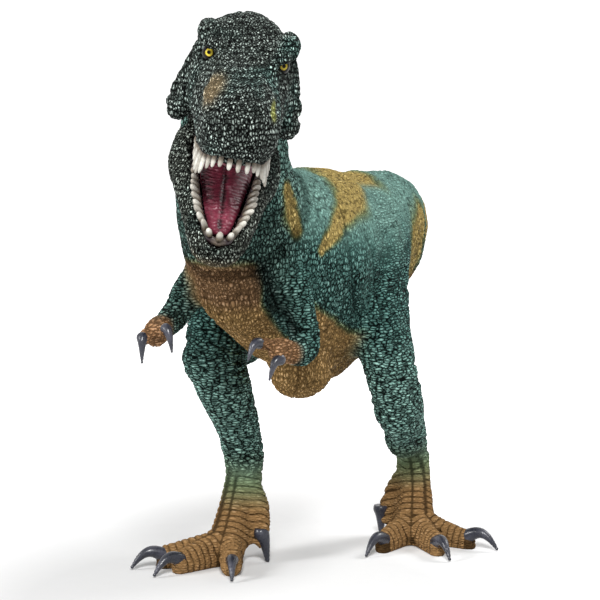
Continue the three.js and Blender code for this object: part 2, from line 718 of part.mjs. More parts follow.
// Castings of the head, in the head's own frame
const pinWidth = barrelWidth + 2 * pinGrip;
const pin = grow => solidOf(acrossHead(pinDiameter / 2 + grow, pinWidth + 2 * grow));
const inHinge = solid => inHead(solid, new THREE.Matrix4().setPosition(hingePoint));
const eyeSolid = (side, grow) => solidOf(egg(eyePoint(side), eyeRadii, 12, grow));
const upperGum = grow => gumBar(upperArch, 1, grow);
const lowerGum = grow => gumBar(lowerArch, -1, grow);
const upperTeeth = joined([upperGum(0), ...toothRow(upperArch, upperTeethCount, -1, upperLengthShares)]);
const lowerTeeth = joined([lowerGum(0), ...toothRow(lowerArch, lowerTeethCount, 1, lowerLengthShares)]);
const palate = without(vaultLoft(0, -seamGap), [
  vaultLoft(palateThickness, 0),
  upperGum(seamGap),
  ...jawSwing(jawGap),
]);
const skull = without(skullOuter(0), [
  inHead(neckLoft(seamGap), headPlace.clone().invert()),
  ...jawSwing(jawGap),
  vaultLoft(0, 0),
  ...[0, -1, -2].map(shift => gumBar(upperArch, 1, seamGap, shift)),
  inHinge(pin(seamGap)),
  eyeSolid(1, seamGap),
  eyeSolid(-1, seamGap),
]);
const lowerJaw = without(jawOuter(0), [trough(), tongueLoft(seamGap), lowerGum(seamGap), pin(seamGap)]);

const root = new THREE.Group();
function add(name, solid, material, parent = root) {
  const mesh = new THREE.Mesh(geometryOf(solid), material);
  mesh.name = name;
  parent.add(mesh);
}

add('torso', torso, bodyPlastic);
add('neck', neck, bodyPlastic);
add('tail_front', tailFront, bodyPlastic);
add('tail_rear', tailRear, bodyPlastic);
add('left_leg', leftLeg, bodyPlastic);
add('right_leg', rightLeg, bodyPlastic);
add('left_arm', leftArm, bodyPlastic);
add('right_arm', rightArm, bodyPlastic);

const footClawNames = ['outer', 'middle', 'inner', 'rear'];
const addClaws = (side, names, claws) => claws.forEach(([rows, hint], i) => {
  const claw = clawLoft(rows, hint, 0);
  add(`${side}_${names[i]}_claw`, flatUnder(claw), clawPlastic);
});
addClaws('left_foot', footClawNames.slice(0, 3).reverse().concat('rear'), leftFoot.claws);
addClaws('right_foot', footClawNames, rightFoot.claws);
addClaws('left_hand', ['upper', 'lower'], clawPairs(leftHand));
addClaws('right_hand', ['outer', 'inner'], clawPairs(rightHand));

const head = new THREE.Group();
head.applyMatrix4(headPlace);
root.add(head);
add('skull', skull, headPlastic, head);
add('palate', palate, mouthPlastic, head);
add('upper_teeth', upperTeeth, toothPlastic, head);
add('left_eye', eyeSolid(1, 0), eyePlastic, head);
add('right_eye', eyeSolid(-1, 0), eyePlastic, head);

const hinge = new THREE.Group();
hinge.position.copy(hingePoint);
head.add(hinge);
add('jaw_pin', pin(0), pinPlastic, hinge);

const jaw = new THREE.Group();
jaw.applyMatrix4(hingePlace);
head.add(jaw);
add('lower_jaw', lowerJaw, headPlastic, jaw);
add('lower_teeth', lowerTeeth, toothPlastic, jaw);
add('tongue', tongueLoft(0), tonguePlastic, jaw);

// The origin lies under the middle of the whole figure
const bounds = new THREE.Box3().setFromObject(root, true);
const middle = bounds.getCenter(v3());
root.position.set(-middle.x, -middle.y, -bounds.min.z);
const figure = new THREE.Group();
figure.add(root);

export default figure;
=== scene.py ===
import math
from itertools import product

import bmesh
import bpy
import numpy as np
from mathutils import Euler, Matrix, Vector
from mathutils.bvhtree import BVHTree


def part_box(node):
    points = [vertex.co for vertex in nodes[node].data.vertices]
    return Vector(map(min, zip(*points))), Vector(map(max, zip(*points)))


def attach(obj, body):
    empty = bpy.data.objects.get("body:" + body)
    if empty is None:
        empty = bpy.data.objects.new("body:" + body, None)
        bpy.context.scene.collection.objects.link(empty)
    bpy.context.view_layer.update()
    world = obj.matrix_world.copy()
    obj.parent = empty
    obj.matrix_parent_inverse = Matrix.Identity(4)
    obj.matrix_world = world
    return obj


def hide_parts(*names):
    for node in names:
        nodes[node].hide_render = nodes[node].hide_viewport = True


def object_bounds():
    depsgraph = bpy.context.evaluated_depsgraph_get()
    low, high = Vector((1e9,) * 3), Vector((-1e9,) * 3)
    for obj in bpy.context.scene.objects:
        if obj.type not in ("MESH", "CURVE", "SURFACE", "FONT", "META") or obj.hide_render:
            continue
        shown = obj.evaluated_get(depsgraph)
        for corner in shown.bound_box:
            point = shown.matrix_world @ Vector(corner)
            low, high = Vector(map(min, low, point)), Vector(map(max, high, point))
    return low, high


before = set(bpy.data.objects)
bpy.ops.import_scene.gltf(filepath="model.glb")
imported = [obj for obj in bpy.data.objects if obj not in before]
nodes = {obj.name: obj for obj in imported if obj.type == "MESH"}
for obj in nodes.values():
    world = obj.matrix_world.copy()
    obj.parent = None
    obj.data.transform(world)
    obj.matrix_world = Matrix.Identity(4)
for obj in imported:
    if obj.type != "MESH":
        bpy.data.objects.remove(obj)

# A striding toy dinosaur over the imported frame. Point arrays are in millimetres, objects in metres.
mm = 0.001
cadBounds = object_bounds()
detail = 1.0
neckOverlap, skullOverlap = 0.03, 0.08  # least share of a casting where its skin runs on under the other's
overlapDip = 0.6  # how far the lower of two overlapping skins lies inside the upper one
middleX = 19.6  # the body's middle plane at the thighs
skinRim = 1.0  # how far a piece's edge turns in where it meets the next

headFrame = {"origin": (20.7006, -87.5776, 123.18), "angles": (12, 11, 23.5)}
jawFrame = {"hinge": (23.7772, -96.0889, 118.2495), "open": 22.5}
headAxes = np.array(Euler([math.radians(a) for a in headFrame["angles"]], "YXZ").to_matrix())
openTurn = Euler((math.radians(jawFrame["open"]), 0, 0)).to_matrix()
jawAxes = headAxes @ np.array(openTurn)


def inHead(points):
    return (points - np.array(headFrame["origin"])) @ headAxes


def inJaw(points):
    return (points - np.array(jawFrame["hinge"])) @ jawAxes


def fromHead(points):
    return np.asarray(points) @ headAxes.T + np.array(headFrame["origin"])


def fromJaw(points):
    return np.asarray(points) @ jawAxes.T + np.array(jawFrame["hinge"])


# Mesh reading and writing

def readVectors(items, key):
    flat = np.empty(len(items) * 3, np.float32)
    items.foreach_get(key, flat)
    return flat.reshape(-1, 3).astype(float)


def readPoints(mesh):
    return readVectors(mesh.vertices, "co") / mm


def writePoints(mesh, points):
    mesh.vertices.foreach_set("co", (points * mm).astype(np.float32).ravel())
    mesh.update()


def readNormals(mesh):
    return readVectors(mesh.vertex_normals, "vector")


def readEdges(mesh):
    flat = np.empty(len(mesh.edges) * 2, np.int32)
    mesh.edges.foreach_get("vertices", flat)
    return flat.reshape(-1, 2)


def storeValues(mesh, name, values):
    kind = "FLOAT" if values.ndim == 1 else "FLOAT_COLOR"
    layer = mesh.attributes.new(name, kind, "POINT")
    if values.ndim == 1:
        layer.data.foreach_set("value", values.astype(np.float32))
    else:
        filled = np.ones((len(values), 4), np.float32)
        filled[:, :3] = values
        layer.data.foreach_set("color", filled.ravel())


def readValues(mesh, name):
    values = np.empty(len(mesh.vertices), np.float32)
    mesh.attributes[name].data.foreach_get("value", values)
    return values.astype(float)


def makeObject(name, mesh):
    obj = bpy.data.objects.new(name, mesh)
    bpy.context.scene.collection.objects.link(obj)
    return obj


def fromBmesh(name, bm):
    mesh = bpy.data.meshes.new(name)
    bm.to_mesh(mesh)
    bm.free()
    return makeObject(name, mesh)


def dropObject(obj):
    mesh = obj.data
    bpy.data.objects.remove(obj)
    bpy.data.meshes.remove(mesh)


def applyModifiers(obj):
    graph = bpy.context.evaluated_depsgraph_get()
    made = bpy.data.meshes.new_from_object(obj.evaluated_get(graph))
    old = obj.data
    obj.modifiers.clear()
    obj.data = made
    bpy.data.meshes.remove(old)


def voxelRemesh(obj, size):
    remesh = obj.modifiers.new("remesh", "REMESH")
    remesh.mode = "VOXEL"
    remesh.voxel_size = size * mm
    remesh.use_smooth_shade = True
    applyModifiers(obj)


def subdivide(obj):
    smooth = obj.modifiers.new("smooth", "SUBSURF")
    smooth.levels = smooth.render_levels = 1
    applyModifiers(obj)


# A ball of clay with its own radii, turned by axes
def addClay(bm, centre, radii, axes=None):
    made = bmesh.ops.create_icosphere(bm, subdivisions=3, radius=1.0)["verts"]
    turn = Matrix(axes.tolist()).to_4x4() if axes is not None else Matrix()
    place = Matrix.Translation(Vector(centre) * mm) @ turn @ Matrix.Diagonal((*[r * mm for r in radii], 1))
    bmesh.ops.transform(bm, matrix=place, verts=made)


# A roll of clay through points, each row a place and a radius
def addRoll(bm, rows, steps=5):
    rows = np.array(rows, float)
    for first, second in zip(rows, rows[1:]):
        for t in np.linspace(0, 1, steps):
            x, y, z, radius = first + (second - first) * t
            addClay(bm, (x, y, z), (radius, radius, radius))


# A copy of some castings in one mesh, each grown a little along its normals
def castingCopy(names, name, grow, clay):
    bm = bmesh.new()
    if clay:
        clay(bm)
    for node in names:
        part = bmesh.new()
        part.from_mesh(nodes[node].data)
        bmesh.ops.remove_doubles(part, verts=part.verts, dist=0.01 * mm)
        part.normal_update()
        for v in part.verts:
            v.co += v.normal * grow * mm
        mesh = bpy.data.meshes.new("part")
        part.to_mesh(mesh)
        part.free()
        bm.from_mesh(mesh)
        bpy.data.meshes.remove(mesh)
    return fromBmesh(name, bm)


def neighbourMean(values, edges):
    count = len(values)
    a, b = edges[:, 0], edges[:, 1]
    shares = np.maximum(np.bincount(edges.ravel(), minlength=count), 1)
    total = [np.bincount(a, v[b], count) + np.bincount(b, v[a], count) for v in values.T]
    return np.array(total).T / shares[:, None]


# Smooths facets away, then gives back the thickness that smoothing took
def relaxSkin(mesh, steps, firm=None):
    points, edges, normals = readPoints(mesh), readEdges(mesh), readNormals(mesh)
    start = points.copy()
    share = 0.5 * (1 - firm(points))[:, None] if firm else 0.5
    for _ in range(steps):
        points += share * (neighbourMean(points, edges) - points)
    lost = ((start - points) * normals).sum(1, keepdims=True)
    for _ in range(steps):
        lost = neighbourMean(lost, edges)
    writePoints(mesh, points + normals * lost)


# One number for all points that the edges join
def connected(count, edges):
    label = np.arange(count)
    while True:
        before = label.copy()
        low = np.minimum(label[edges[:, 0]], label[edges[:, 1]])
        np.minimum.at(label, edges[:, 0], low)
        np.minimum.at(label, edges[:, 1], low)
        label = label[label]
        if (label == before).all():
            return label


def keepLargest(obj):
    mesh = obj.data
    label = connected(len(mesh.vertices), readEdges(mesh))
    main = np.bincount(label).argmax()
    if (label == main).all():
        return
    bm = bmesh.new()
    bm.from_mesh(mesh)
    bm.verts.ensure_lookup_table()
    bmesh.ops.delete(bm, geom=[bm.verts[i] for i in np.nonzero(label != main)[0]], context="VERTS")
    bm.to_mesh(mesh)
    bm.free()


# Patterns worked out from position alone, so that they run on across seams

def hashed(cells):
    mix = np.array([[127.1, 269.5, 113.5], [311.7, 183.3, 271.9], [74.7, 246.1, 124.6]])
    return (np.sin(cells @ mix) * 43758.5453) % 1.0


# 1 in the middle of a scale, falling round its edge to 0 in the crease
def scalePattern(points, size, edge=0.34, jitter=0.8):
    scaled = points / size
    base = np.floor(scaled)
    near = np.full(len(points), 9.0)
    second = near.copy()
    for offset in product((-1, 0, 1), repeat=3):
        cell = base + offset
        centre = cell + 0.5 + jitter * (hashed(cell) - 0.5)
        distance = np.sqrt(((centre - scaled) ** 2).sum(1))
        second = np.minimum(second, np.maximum(near, distance))
        near = np.minimum(near, distance)
    dome = np.sqrt(np.clip(1 - (near / 0.95) ** 2, 0, 1))
    return smoothStep(0, edge, second - near) * dome


def smoothNoise(points, size):
    scaled = points / size
    base = np.floor(scaled)
    part = scaled - base
    part = part * part * (3 - 2 * part)
    total = np.zeros(len(points))
    for corner in product((0, 1), repeat=3):
        weight = np.prod(np.where(corner, part, 1 - part), axis=1)
        total += weight * hashed(base + corner)[:, 0]
    return total * 2 - 1


def wrinkles(points, size):
    return 1 - np.abs(smoothNoise(points, size)) * 2


# Small shifts that keep the rows of scales from running straight
def drifted(points, size, amount):
    return np.stack([smoothNoise(points + start, size) for start in (0, 31, 67)], 1) * amount


def smoothStep(low, high, value):
    t = np.clip((value - low) / (high - low), 0, 1)
    return t * t * (3 - 2 * t)


def softSpot(points, centre, radii):
    far = (((points - np.array(centre)) / np.array(radii)) ** 2).sum(1)
    return np.exp(-far * 1.5)


def ink(red, green, blue):
    return np.array([((c / 255 + 0.055) / 1.055) ** 2.4 for c in (red, green, blue)])


# Coats of paint over a base, each the name of an ink and the share that it covers
def painted(points, inks, base, coats):
    colours = np.tile(inks[base], (len(points), 1))
    for name, mask in coats:
        colours = colours * (1 - mask[:, None]) + inks[name] * mask[:, None]
    return colours


# Fuses castings and clay into one smooth skin
def fusedSkin(names, name, values, clay=None, firm=None):
    obj = castingCopy(names, name, values["grow"], clay)
    voxelRemesh(obj, values["voxel"] * detail)
    keepLargest(obj)
    relaxSkin(obj.data, values["steps"], firm)
    return obj


# How much each point belongs to each casting, blurred across the seams
def castingWeights(obj, names, blur=10):
    corners, faces, owners = [], [], []
    for index, node in enumerate(names):
        mesh = nodes[node].data
        start = len(corners)
        corners += [v.co.copy() for v in mesh.vertices]
        faces += [[start + i for i in p.vertices] for p in mesh.polygons]
        owners += [index] * len(mesh.polygons)
    tree = BVHTree.FromPolygons(corners, faces)
    owner = [owners[tree.find_nearest(v.co)[2]] for v in obj.data.vertices]
    weights = np.eye(len(names))[owner]
    edges = readEdges(obj.data)
    for _ in range(blur):
        weights = neighbourMean(weights, edges)
    for index, node in enumerate(names):
        storeValues(obj.data, "of_" + node, weights[:, index])


def takeWeights(mesh, names):
    found = {node: readValues(mesh, "of_" + node) for node in names}
    for node in names:
        mesh.attributes.remove(mesh.attributes["of_" + node])
    return found


def skinName(node):
    first, *rest = node.split("_")
    return first + "".join(word.title() for word in rest) + "Skin"


# Turns new faces the way of the faces that they join
def matchTurn(faces, newFaces):
    for face in faces:
        for loop in face.loops:
            other = loop.link_loop_radial_next
            if other.face is not face and other.face not in newFaces:
                if other.vert == loop.vert:
                    face.normal_flip()
                break


# Keeps the points of chosen castings as one closed piece, with the whole skin's own shading
def takePiece(skin, wanted, name):
    bm = bmesh.new()
    bm.from_mesh(skin.data)
    bm.normal_update()
    away = [f for f in bm.faces if not wanted[[v.index for v in f.verts]].any()]
    bmesh.ops.delete(bm, geom=away, context="FACES")
    rim = [e for e in bm.edges if e.is_boundary]
    turned = bmesh.ops.extrude_edge_only(bm, edges=rim)["geom"]
    inner = {v for v in turned if isinstance(v, bmesh.types.BMVert)}
    sides = {f for f in turned if isinstance(f, bmesh.types.BMFace)}
    for v in inner:
        outer = next(e.other_vert(v) for e in v.link_edges if e.other_vert(v) not in inner)
        v.co = outer.co - outer.normal * skinRim * mm
    matchTurn(sides, sides)
    caps = set(bmesh.ops.holes_fill(bm, edges=[e for e in bm.edges if e.is_boundary], sides=0)["faces"])
    matchTurn(caps, caps)
    bmesh.ops.poke(bm, faces=list(caps), offset=-skinRim * mm)
    piece = fromBmesh(name, bm)
    keepLargest(piece)
    piece.data.shade_smooth()
    shading = readVectors(piece.data.attributes["shading"].data, "vector")
    piece.data.attributes.remove(piece.data.attributes["shading"])
    piece.data.normals_split_custom_set_from_vertices(shading.tolist())
    return piece


# Gives stray islands of a casting's points to the casting round them
def joinIslands(mesh, owner):
    edges = readEdges(mesh)
    same = edges[owner[edges[:, 0]] == owner[edges[:, 1]]]
    label = connected(len(owner), same)
    sizes = np.bincount(label, minlength=len(owner))
    main = {kind: label[owner == kind][sizes[label[owner == kind]].argmax()] for kind in np.unique(owner)}
    owner = np.where([main[kind] == part for kind, part in zip(owner, label)], owner, -1)
    for _ in range(400):
        open_ = owner < 0
        if not open_.any():
            break
        for a, b in (edges.T, edges.T[::-1]):
            reached = (owner[a] < 0) & (owner[b] >= 0)
            owner[a[reached]] = owner[b[reached]]
    return owner


def storeShading(mesh):
    layer = mesh.attributes.new("shading", "FLOAT_VECTOR", "POINT")
    layer.data.foreach_set("vector", readNormals(mesh).astype(np.float32).ravel())


# Body skin

bodyNodes = ["torso", "neck", "tail_front", "tail_rear", "left_leg", "right_leg", "left_arm", "right_arm"]
bodySkin = {
    "voxel": 0.8, "steps": 14, "grow": 0.25, "scaleSize": 1.4, "legScale": 1.3, "scaleDepth": 0.26, "scaleDrift": 0.5,
    "legFold": 2.6, "flankFold": 4.2, "neckFold": 3.4, "foldDepth": 0.9, "furrowWidth": 1.3,
    "grooveWidth": 1.9, "grooveDepth": 1.1, "plateStep": 1.75, "flatSole": 0.2,
}

# Middle line of the body and tail, from the chest back: y, z and half height
spine = np.array([
    (-110, 118, 12), (-92, 98, 18), (-82, 84.5, 20), (-70.7, 82, 22), (-57, 77, 24.5), (-40.7, 73.5, 26.5),
    (-25, 71.5, 26), (-8.9, 75.3, 21.5), (11, 77.2, 18), (29, 77.6, 15.4), (50, 76.1, 12.7), (72, 73.1, 10),
    (93, 69.6, 7.4), (113, 67.1, 5), (128, 66.6, 3.2), (140, 68, 1.5),
])
# places in each foot: down the shank, the ball, the root of each claw, and the rear toe with its radii
feet = {
    "left": {
        "shank": [(35.2, -12, 28), (33.9, -4, 22.5), (33.8, -1.8, 18), (34.6, -3.6, 13)], "ball": (36.4, -9.2, 6),
        "toes": [(32.9, -23.1, 3.6), (47.6, -21, 3.6), (52.2, -11.5, 3.6)],
        "rear": [(32, -3.2, 18, 2.4), (28.6, -4.2, 12.5, 2.3), (26.9, -5.2, 7.6, 2.0)],
    },
    "right": {
        "shank": [(0.5, -38.6, 29), (0.4, -36.4, 22.5), (0.4, -37.8, 18), (0.8, -41.4, 13)], "ball": (1.7, -48.2, 6),
        "toes": [(-12, -59.1, 3.6), (-6.1, -62.5, 3.6), (7.3, -59.7, 3.6)],
        "rear": [(3.6, -39.5, 18.5, 2.6), (7.4, -42.3, 14, 2.4), (9, -44.2, 8.4, 2.1)],
    },
}
arms = {
    "left": {"elbow": (33, -78, 60.5), "palm": (31.1, -88, 61), "brown": (-80, -84.5)},
    "right": {"elbow": (3, -88, 66), "palm": (5, -98, 65), "brown": (-89, -95)},
}
neckTurn = np.array([(0.4, 0, 0), (0, 0.7, 0.5), (0, -0.5, 0.9)])  # lays the neck's rings across it
armGroove = [(27.0, -87.5, 79.5), (28.2, -84.5, 74.5), (28.8, -81, 69.5), (30.6, -79, 65)]
# creases between the flank and the thigh, on the left; the right has the same
furrows = [
    [(34.5, -55, 92), (36.6, -54.9, 84), (36.6, -54.9, 79), (36, -51.8, 72.7), (35.1, -48, 67.7), (35, -43, 63)],
    [(37, -44, 84), (37, -40, 77), (35.9, -34.2, 69.2), (38.7, -36.7, 60.9)],
    [(33.4, -67, 93), (34, -68, 84), (33.5, -65, 76)],
]


# The ridge that runs down the shank into one toe
def toeRidge(foot, toe):
    ball, root = np.array(foot["ball"], float), np.array(toe, float)
    ahead = root - ball
    ahead[2] = 0
    ahead /= np.linalg.norm(ahead)
    rows = [np.array(p) + ahead * out for p, out in zip(foot["shank"], (1.6, 1.6, 2.0, 2.6))]
    rows += [ball + ahead * 3, (ball + root) / 2 + (0, 0, 0.2), root]
    return np.array(rows)


toeRidges = [toeRidge(feet[side], toe) for side in feet for toe in feet[side]["toes"]]
ridgeRadii = (2.6, 2.7, 2.6, 2.7, 2.9, 2.5, 2.1)


def bodyClay(bm):
    for side in feet:
        x, y, z = feet[side]["shank"][0]
        addClay(bm, (x - 0.5, y, z + 1), (5.5, 5.8, 7))
        addRoll(bm, feet[side]["rear"])
    addClay(bm, (21.5, -50, 51.5), (7.5, 12, 8))
    for ridge in toeRidges:
        addRoll(bm, [(*p, r) for p, r in zip(ridge, ridgeRadii)], 7)


# Nearest distance to a line of points, and how far along it
def lineField(points, line):
    line = np.array(line, float)
    nearest = np.full(len(points), 1e9)
    along = np.zeros(len(points))
    start = 0.0
    for a, b in zip(line, line[1:]):
        step = b - a
        length = np.linalg.norm(step)
        t = np.clip((points - a) @ step / length ** 2, 0, 1)
        off = np.sqrt(((points - a - t[:, None] * step) ** 2).sum(1))
        closer = off < nearest
        nearest = np.where(closer, off, nearest)
        along = np.where(closer, start + t * length, along)
        start += length
    return nearest, along


# Toes and hands keep more of their shape when the skin is smoothed
def firmness(points):
    firm = smoothStep(15, 9, points[:, 2]) * 0.6
    for side in arms:
        off = lineField(points, [arms[side]["elbow"], arms[side]["palm"]])[0]
        firm = np.maximum(firm, smoothStep(9, 6, off) * 0.7)
    return firm


# From belly (-1) to back (1)
def bodyHeight(points):
    middle, half = [np.interp(points[:, 1], spine[:, 0], spine[:, column]) for column in (1, 2)]
    return (points[:, 2] - middle) / half


# The trunk and the top of the thighs, which share one paint
def upperBody(points, trunk, legs):
    return np.clip(trunk + legs * smoothStep(58, 80, points[:, 2]), 0, 1)


# Distance in the flank's plane from a line of (y, z, half width)
def flankBand(points, line):
    y, z = points[:, 1], points[:, 2]
    nearest = np.full(len(points), 1e9)
    for (y0, z0, w0), (y1, z1, w1) in zip(line, line[1:]):
        length = (y1 - y0) ** 2 + (z1 - z0) ** 2
        t = np.clip(((y - y0) * (y1 - y0) + (z - z0) * (z1 - z0)) / length, 0, 1)
        off = np.hypot(y - y0 - t * (y1 - y0), z - z0 - t * (z1 - z0)) / (w0 + t * (w1 - w0))
        nearest = np.minimum(nearest, off)
    return nearest


bodyInks = {
    "teal": ink(90, 134, 126), "tealPale": ink(142, 184, 172), "tealDark": ink(44, 72, 68), "neck": ink(90, 112, 102),
    "ochre": ink(192, 166, 100), "olive": ink(126, 132, 76), "belly": ink(182, 146, 94), "brown": ink(148, 114, 84),
    "foot": ink(150, 116, 76), "groove": ink(36, 50, 46), "hand": ink(162, 122, 86),
}
flankStripes = [
    [(-82.8, 98, 2.2), (-80.8, 93.5, 3.6), (-79, 89, 2.2)],
    [(-16, 99, 8), (-32, 97, 6.5), (-48, 93, 4.2), (-60, 88.5, 2.6), (-70, 83, 1.3)],
    [(17, 81, 5.5), (8, 76, 7.5), (0, 70, 6), (-4, 62, 3.5)],
    [(42, 88, 4.5), (33, 80, 5), (27, 72, 3.6), (24, 66, 1.6)],
    [(62, 84, 3.6), (54, 78, 4), (49, 71, 2.8), (47, 66, 1.2)],
    [(80, 80, 3), (74, 75, 3.4), (70, 69, 2)],
    [(97, 76, 2.6), (92, 71, 2.8), (89, 66, 1.4)],
]


def bodyColour(points, weights):
    high = bodyHeight(points)
    legs = weights["left_leg"] + weights["right_leg"]
    trunk = 1 - (legs + weights["left_arm"] + weights["right_arm"])
    upper = upperBody(points, trunk, legs)
    drift = smoothNoise(points, 9) * 0.5 + smoothNoise(points, 4) * 0.3
    throat = smoothStep(-74, -86, points[:, 1]) * smoothStep(100, 90, points[:, 2])
    patch = np.minimum.reduce([flankBand(points, line) for line in flankStripes]) + 0.22 * drift
    stripe = (1 - 0.65 * legs) * trunk
    under = smoothStep(-0.42, -0.62, high + 0.1 * drift) * smoothStep(-76, -68, points[:, 1])
    middle = np.abs(points[:, 0] - 15.5 + drift * 1.2)
    chest = smoothStep(-66, -72, points[:, 1]) * smoothStep(84, 78, points[:, 2]) * smoothStep(12.2, 9.6, middle)
    front = np.maximum(under, chest)
    shade = smoothStep(66, 77, points[:, 2] + 2 * drift) * chest
    low = points[:, 2] + 1.6 * drift
    coats = [
        # paler teal over the back and the tops of the thighs, partly the figure's own colour and partly painted light
        # on the top
        ("tealPale", smoothStep(-0.05, 0.6, high + 0.3 * drift) * 0.88 * upper),
        ("tealDark", smoothStep(0.1, 0.9, drift + 0.3) * 0.35),
        ("neck", throat * 0.6),
        ("olive", (1 - smoothStep(0.9, 1.6, patch)) * 0.8 * stripe),  # edge of the stripes
        ("ochre", (1 - smoothStep(0.6, 1.1, patch)) * 0.92 * stripe),
        ("olive", smoothStep(0.05, 0.4, front) * 0.7 * trunk),  # edge of the belly and chest
        ("belly", smoothStep(0.35, 0.85, front) * trunk),
        # darker brown high on the chest, partly its own brown and partly painted shade under the neck
        ("brown", smoothStep(0.1, 0.7, shade) * 0.85 * trunk),
        # painted shade in the groove between chest and arm
        ("groove", np.exp(-(lineField(points, armGroove)[0] / 2.6) ** 2) * 0.9),
        # paler teal down the shanks, partly the legs' own colour and partly painted light
        ("tealPale", smoothStep(62, 44, low) * 0.75 * legs),  # legs, down to ochre feet
        ("olive", smoothStep(29, 18, low) * 0.75 * legs),
        ("foot", smoothStep(20, 12, low) * legs),
    ]
    for side in arms:  # forearms and hands
        start, end = arms[side]["brown"]
        brown = smoothStep(start, end, points[:, 1] + drift) * smoothStep(71, 68, points[:, 2])
        coats.append(("hand", brown * weights[side + "_arm"]))
    return painted(points, bodyInks, "teal", coats)


# Ladder bands down the shank and along each toe, with a groove between the rows
def scutes(points):
    fields = [lineField(points, ridge) for ridge in toeRidges]
    off = np.array([f[0] for f in fields])
    along = np.array([f[1] for f in fields])
    order = np.argsort(off, axis=0)
    run = np.take_along_axis(along, order[:1], 0)[0]
    first, second = np.take_along_axis(off, order[:2], 0)
    band = smoothStep(0.0, 0.55, 0.5 + 0.5 * np.cos(run * 2 * math.pi / bodySkin["plateStep"]))
    return band * smoothStep(0.1, 0.8, second - first)


# How far the skin is pushed out or in, how high each scale stands, and where the paint is calmer
def bodyRelief(points, normals, weights):
    legs = weights["left_leg"] + weights["right_leg"]
    arm = weights["left_arm"] + weights["right_arm"]
    neck = weights["neck"] + weights["skull"]
    trunk = np.clip(1 - legs - arm - neck, 0, 1)
    warp = drifted(points, 5, bodySkin["scaleDrift"])
    plain = scalePattern(points + warp, bodySkin["scaleSize"])
    small = scalePattern(points * (1, 1, 1.3) + warp, bodySkin["legScale"])
    pebbles = plain * (trunk + neck) + small * (legs + arm)
    plates = smoothStep(25, 20, points[:, 2]) * legs * smoothStep(0.45, 0.1, normals[:, 1])
    pebbles = pebbles * (1 - plates) + scutes(points) * (0.7 + 0.3 * small) * plates
    rows = wrinkles(points * (0.3, 0.3, 1) + 11, bodySkin["legFold"]) * legs * smoothStep(12, 24, points[:, 2])
    flank = wrinkles(points * (1, 1, 0.22) + 40, bodySkin["flankFold"]) * trunk
    rings = wrinkles(points @ neckTurn, bodySkin["neckFold"]) * neck
    folds = smoothStep(0.5, 1, rows) * 0.6 + smoothStep(0.45, 1, flank) * 0.55
    folds += smoothStep(0.45, 1, rings) * 0.55
    lumps = smoothNoise(points, 6) * 0.3 + smoothNoise(points + 9, 12) * 0.4
    groove = np.exp(-(lineField(points, armGroove)[0] / bodySkin["grooveWidth"]) ** 2)
    leftward = points.copy()
    leftward[:, 0] = middleX + np.abs(points[:, 0] - middleX)
    cuts = [np.exp(-(lineField(leftward, line)[0] / bodySkin["furrowWidth"]) ** 2) for line in furrows]
    folds = np.maximum(folds, np.max(cuts, axis=0))
    depth = bodySkin["scaleDepth"] * (1 + 0.6 * plates)
    push = lumps - 0.1 - bodySkin["foldDepth"] * folds - bodySkin["grooveDepth"] * groove - depth * (1 - pebbles)
    push -= overlapDip * smoothStep(0.5, 0.85, weights["skull"])  # goes under the head skin
    upper = upperBody(points, trunk, legs)
    calm = np.clip(0.58 * smoothStep(-0.05, 0.5, bodyHeight(points)) * upper + 0.6 * plates, 0, 1)
    # pebble drops in the folds, where the skin paint puts its wash and painted shade
    return push, pebbles * (1 - np.clip(0.9 * folds, 0, 0.85)), calm


# Paints a skin, gives it one level more of points, and presses its relief in
def finishSkin(obj, names, relief, colour, blur=10):
    castingWeights(obj, names, blur)
    subdivide(obj)
    weights = takeWeights(obj.data, names)
    points, normals = readPoints(obj.data), readNormals(obj.data)
    push, pebbles, calm = relief(points, normals, weights)
    colours = colour(points, weights)
    warm = smoothStep(0.03, 0.16, colours[:, 0] - colours[:, 2])
    storeValues(obj.data, "paint", colours)
    storeValues(obj.data, "pebble", pebbles)
    storeValues(obj.data, "web", (1 - 0.3 * warm) * (1 - calm))
    limbs = [weights[node] for node in names if node.endswith(("leg", "arm"))]
    storeValues(obj.data, "limb", sum(limbs, np.zeros(len(points))))
    sole = smoothStep(bodySkin["flatSole"], bodySkin["flatSole"] + 1, points[:, 2])
    points = points + normals * (push * sole)[:, None]
    low, high = [np.array(corner) / mm for corner in cadBounds]
    writePoints(obj.data, np.clip(points, low, high))
    storeShading(obj.data)
    return np.array([weights[node] for node in names])


print("body skin")
fused = bodyNodes + ["skull"]
wholeBody = fusedSkin(fused, "wholeBody", bodySkin, bodyClay, firmness)
shares = finishSkin(wholeBody, fused, bodyRelief, bodyColour)
owner = joinIslands(wholeBody.data, shares.argmax(axis=0))
pieces = {}
for index, node in enumerate(bodyNodes):
    wanted = owner == index
    if node == "neck":  # runs on under the skull's edge
        wanted |= shares[index] > neckOverlap
    pieces[node] = takePiece(wholeBody, wanted, skinName(node))
dropObject(wholeBody)


# Head skin

headSkin = {
    "voxel": 0.6, "steps": 9, "grow": 0.2, "blur": 20, "scaleSize": 1.15, "scaleDepth": 0.2, "scaleDrift": 0.4,
    "lumps": 0.2, "sink": 0.05, "foldStretch": (1, 0.3, 0.8), "foldSize": 2.8, "foldDepth": 0.3,
}
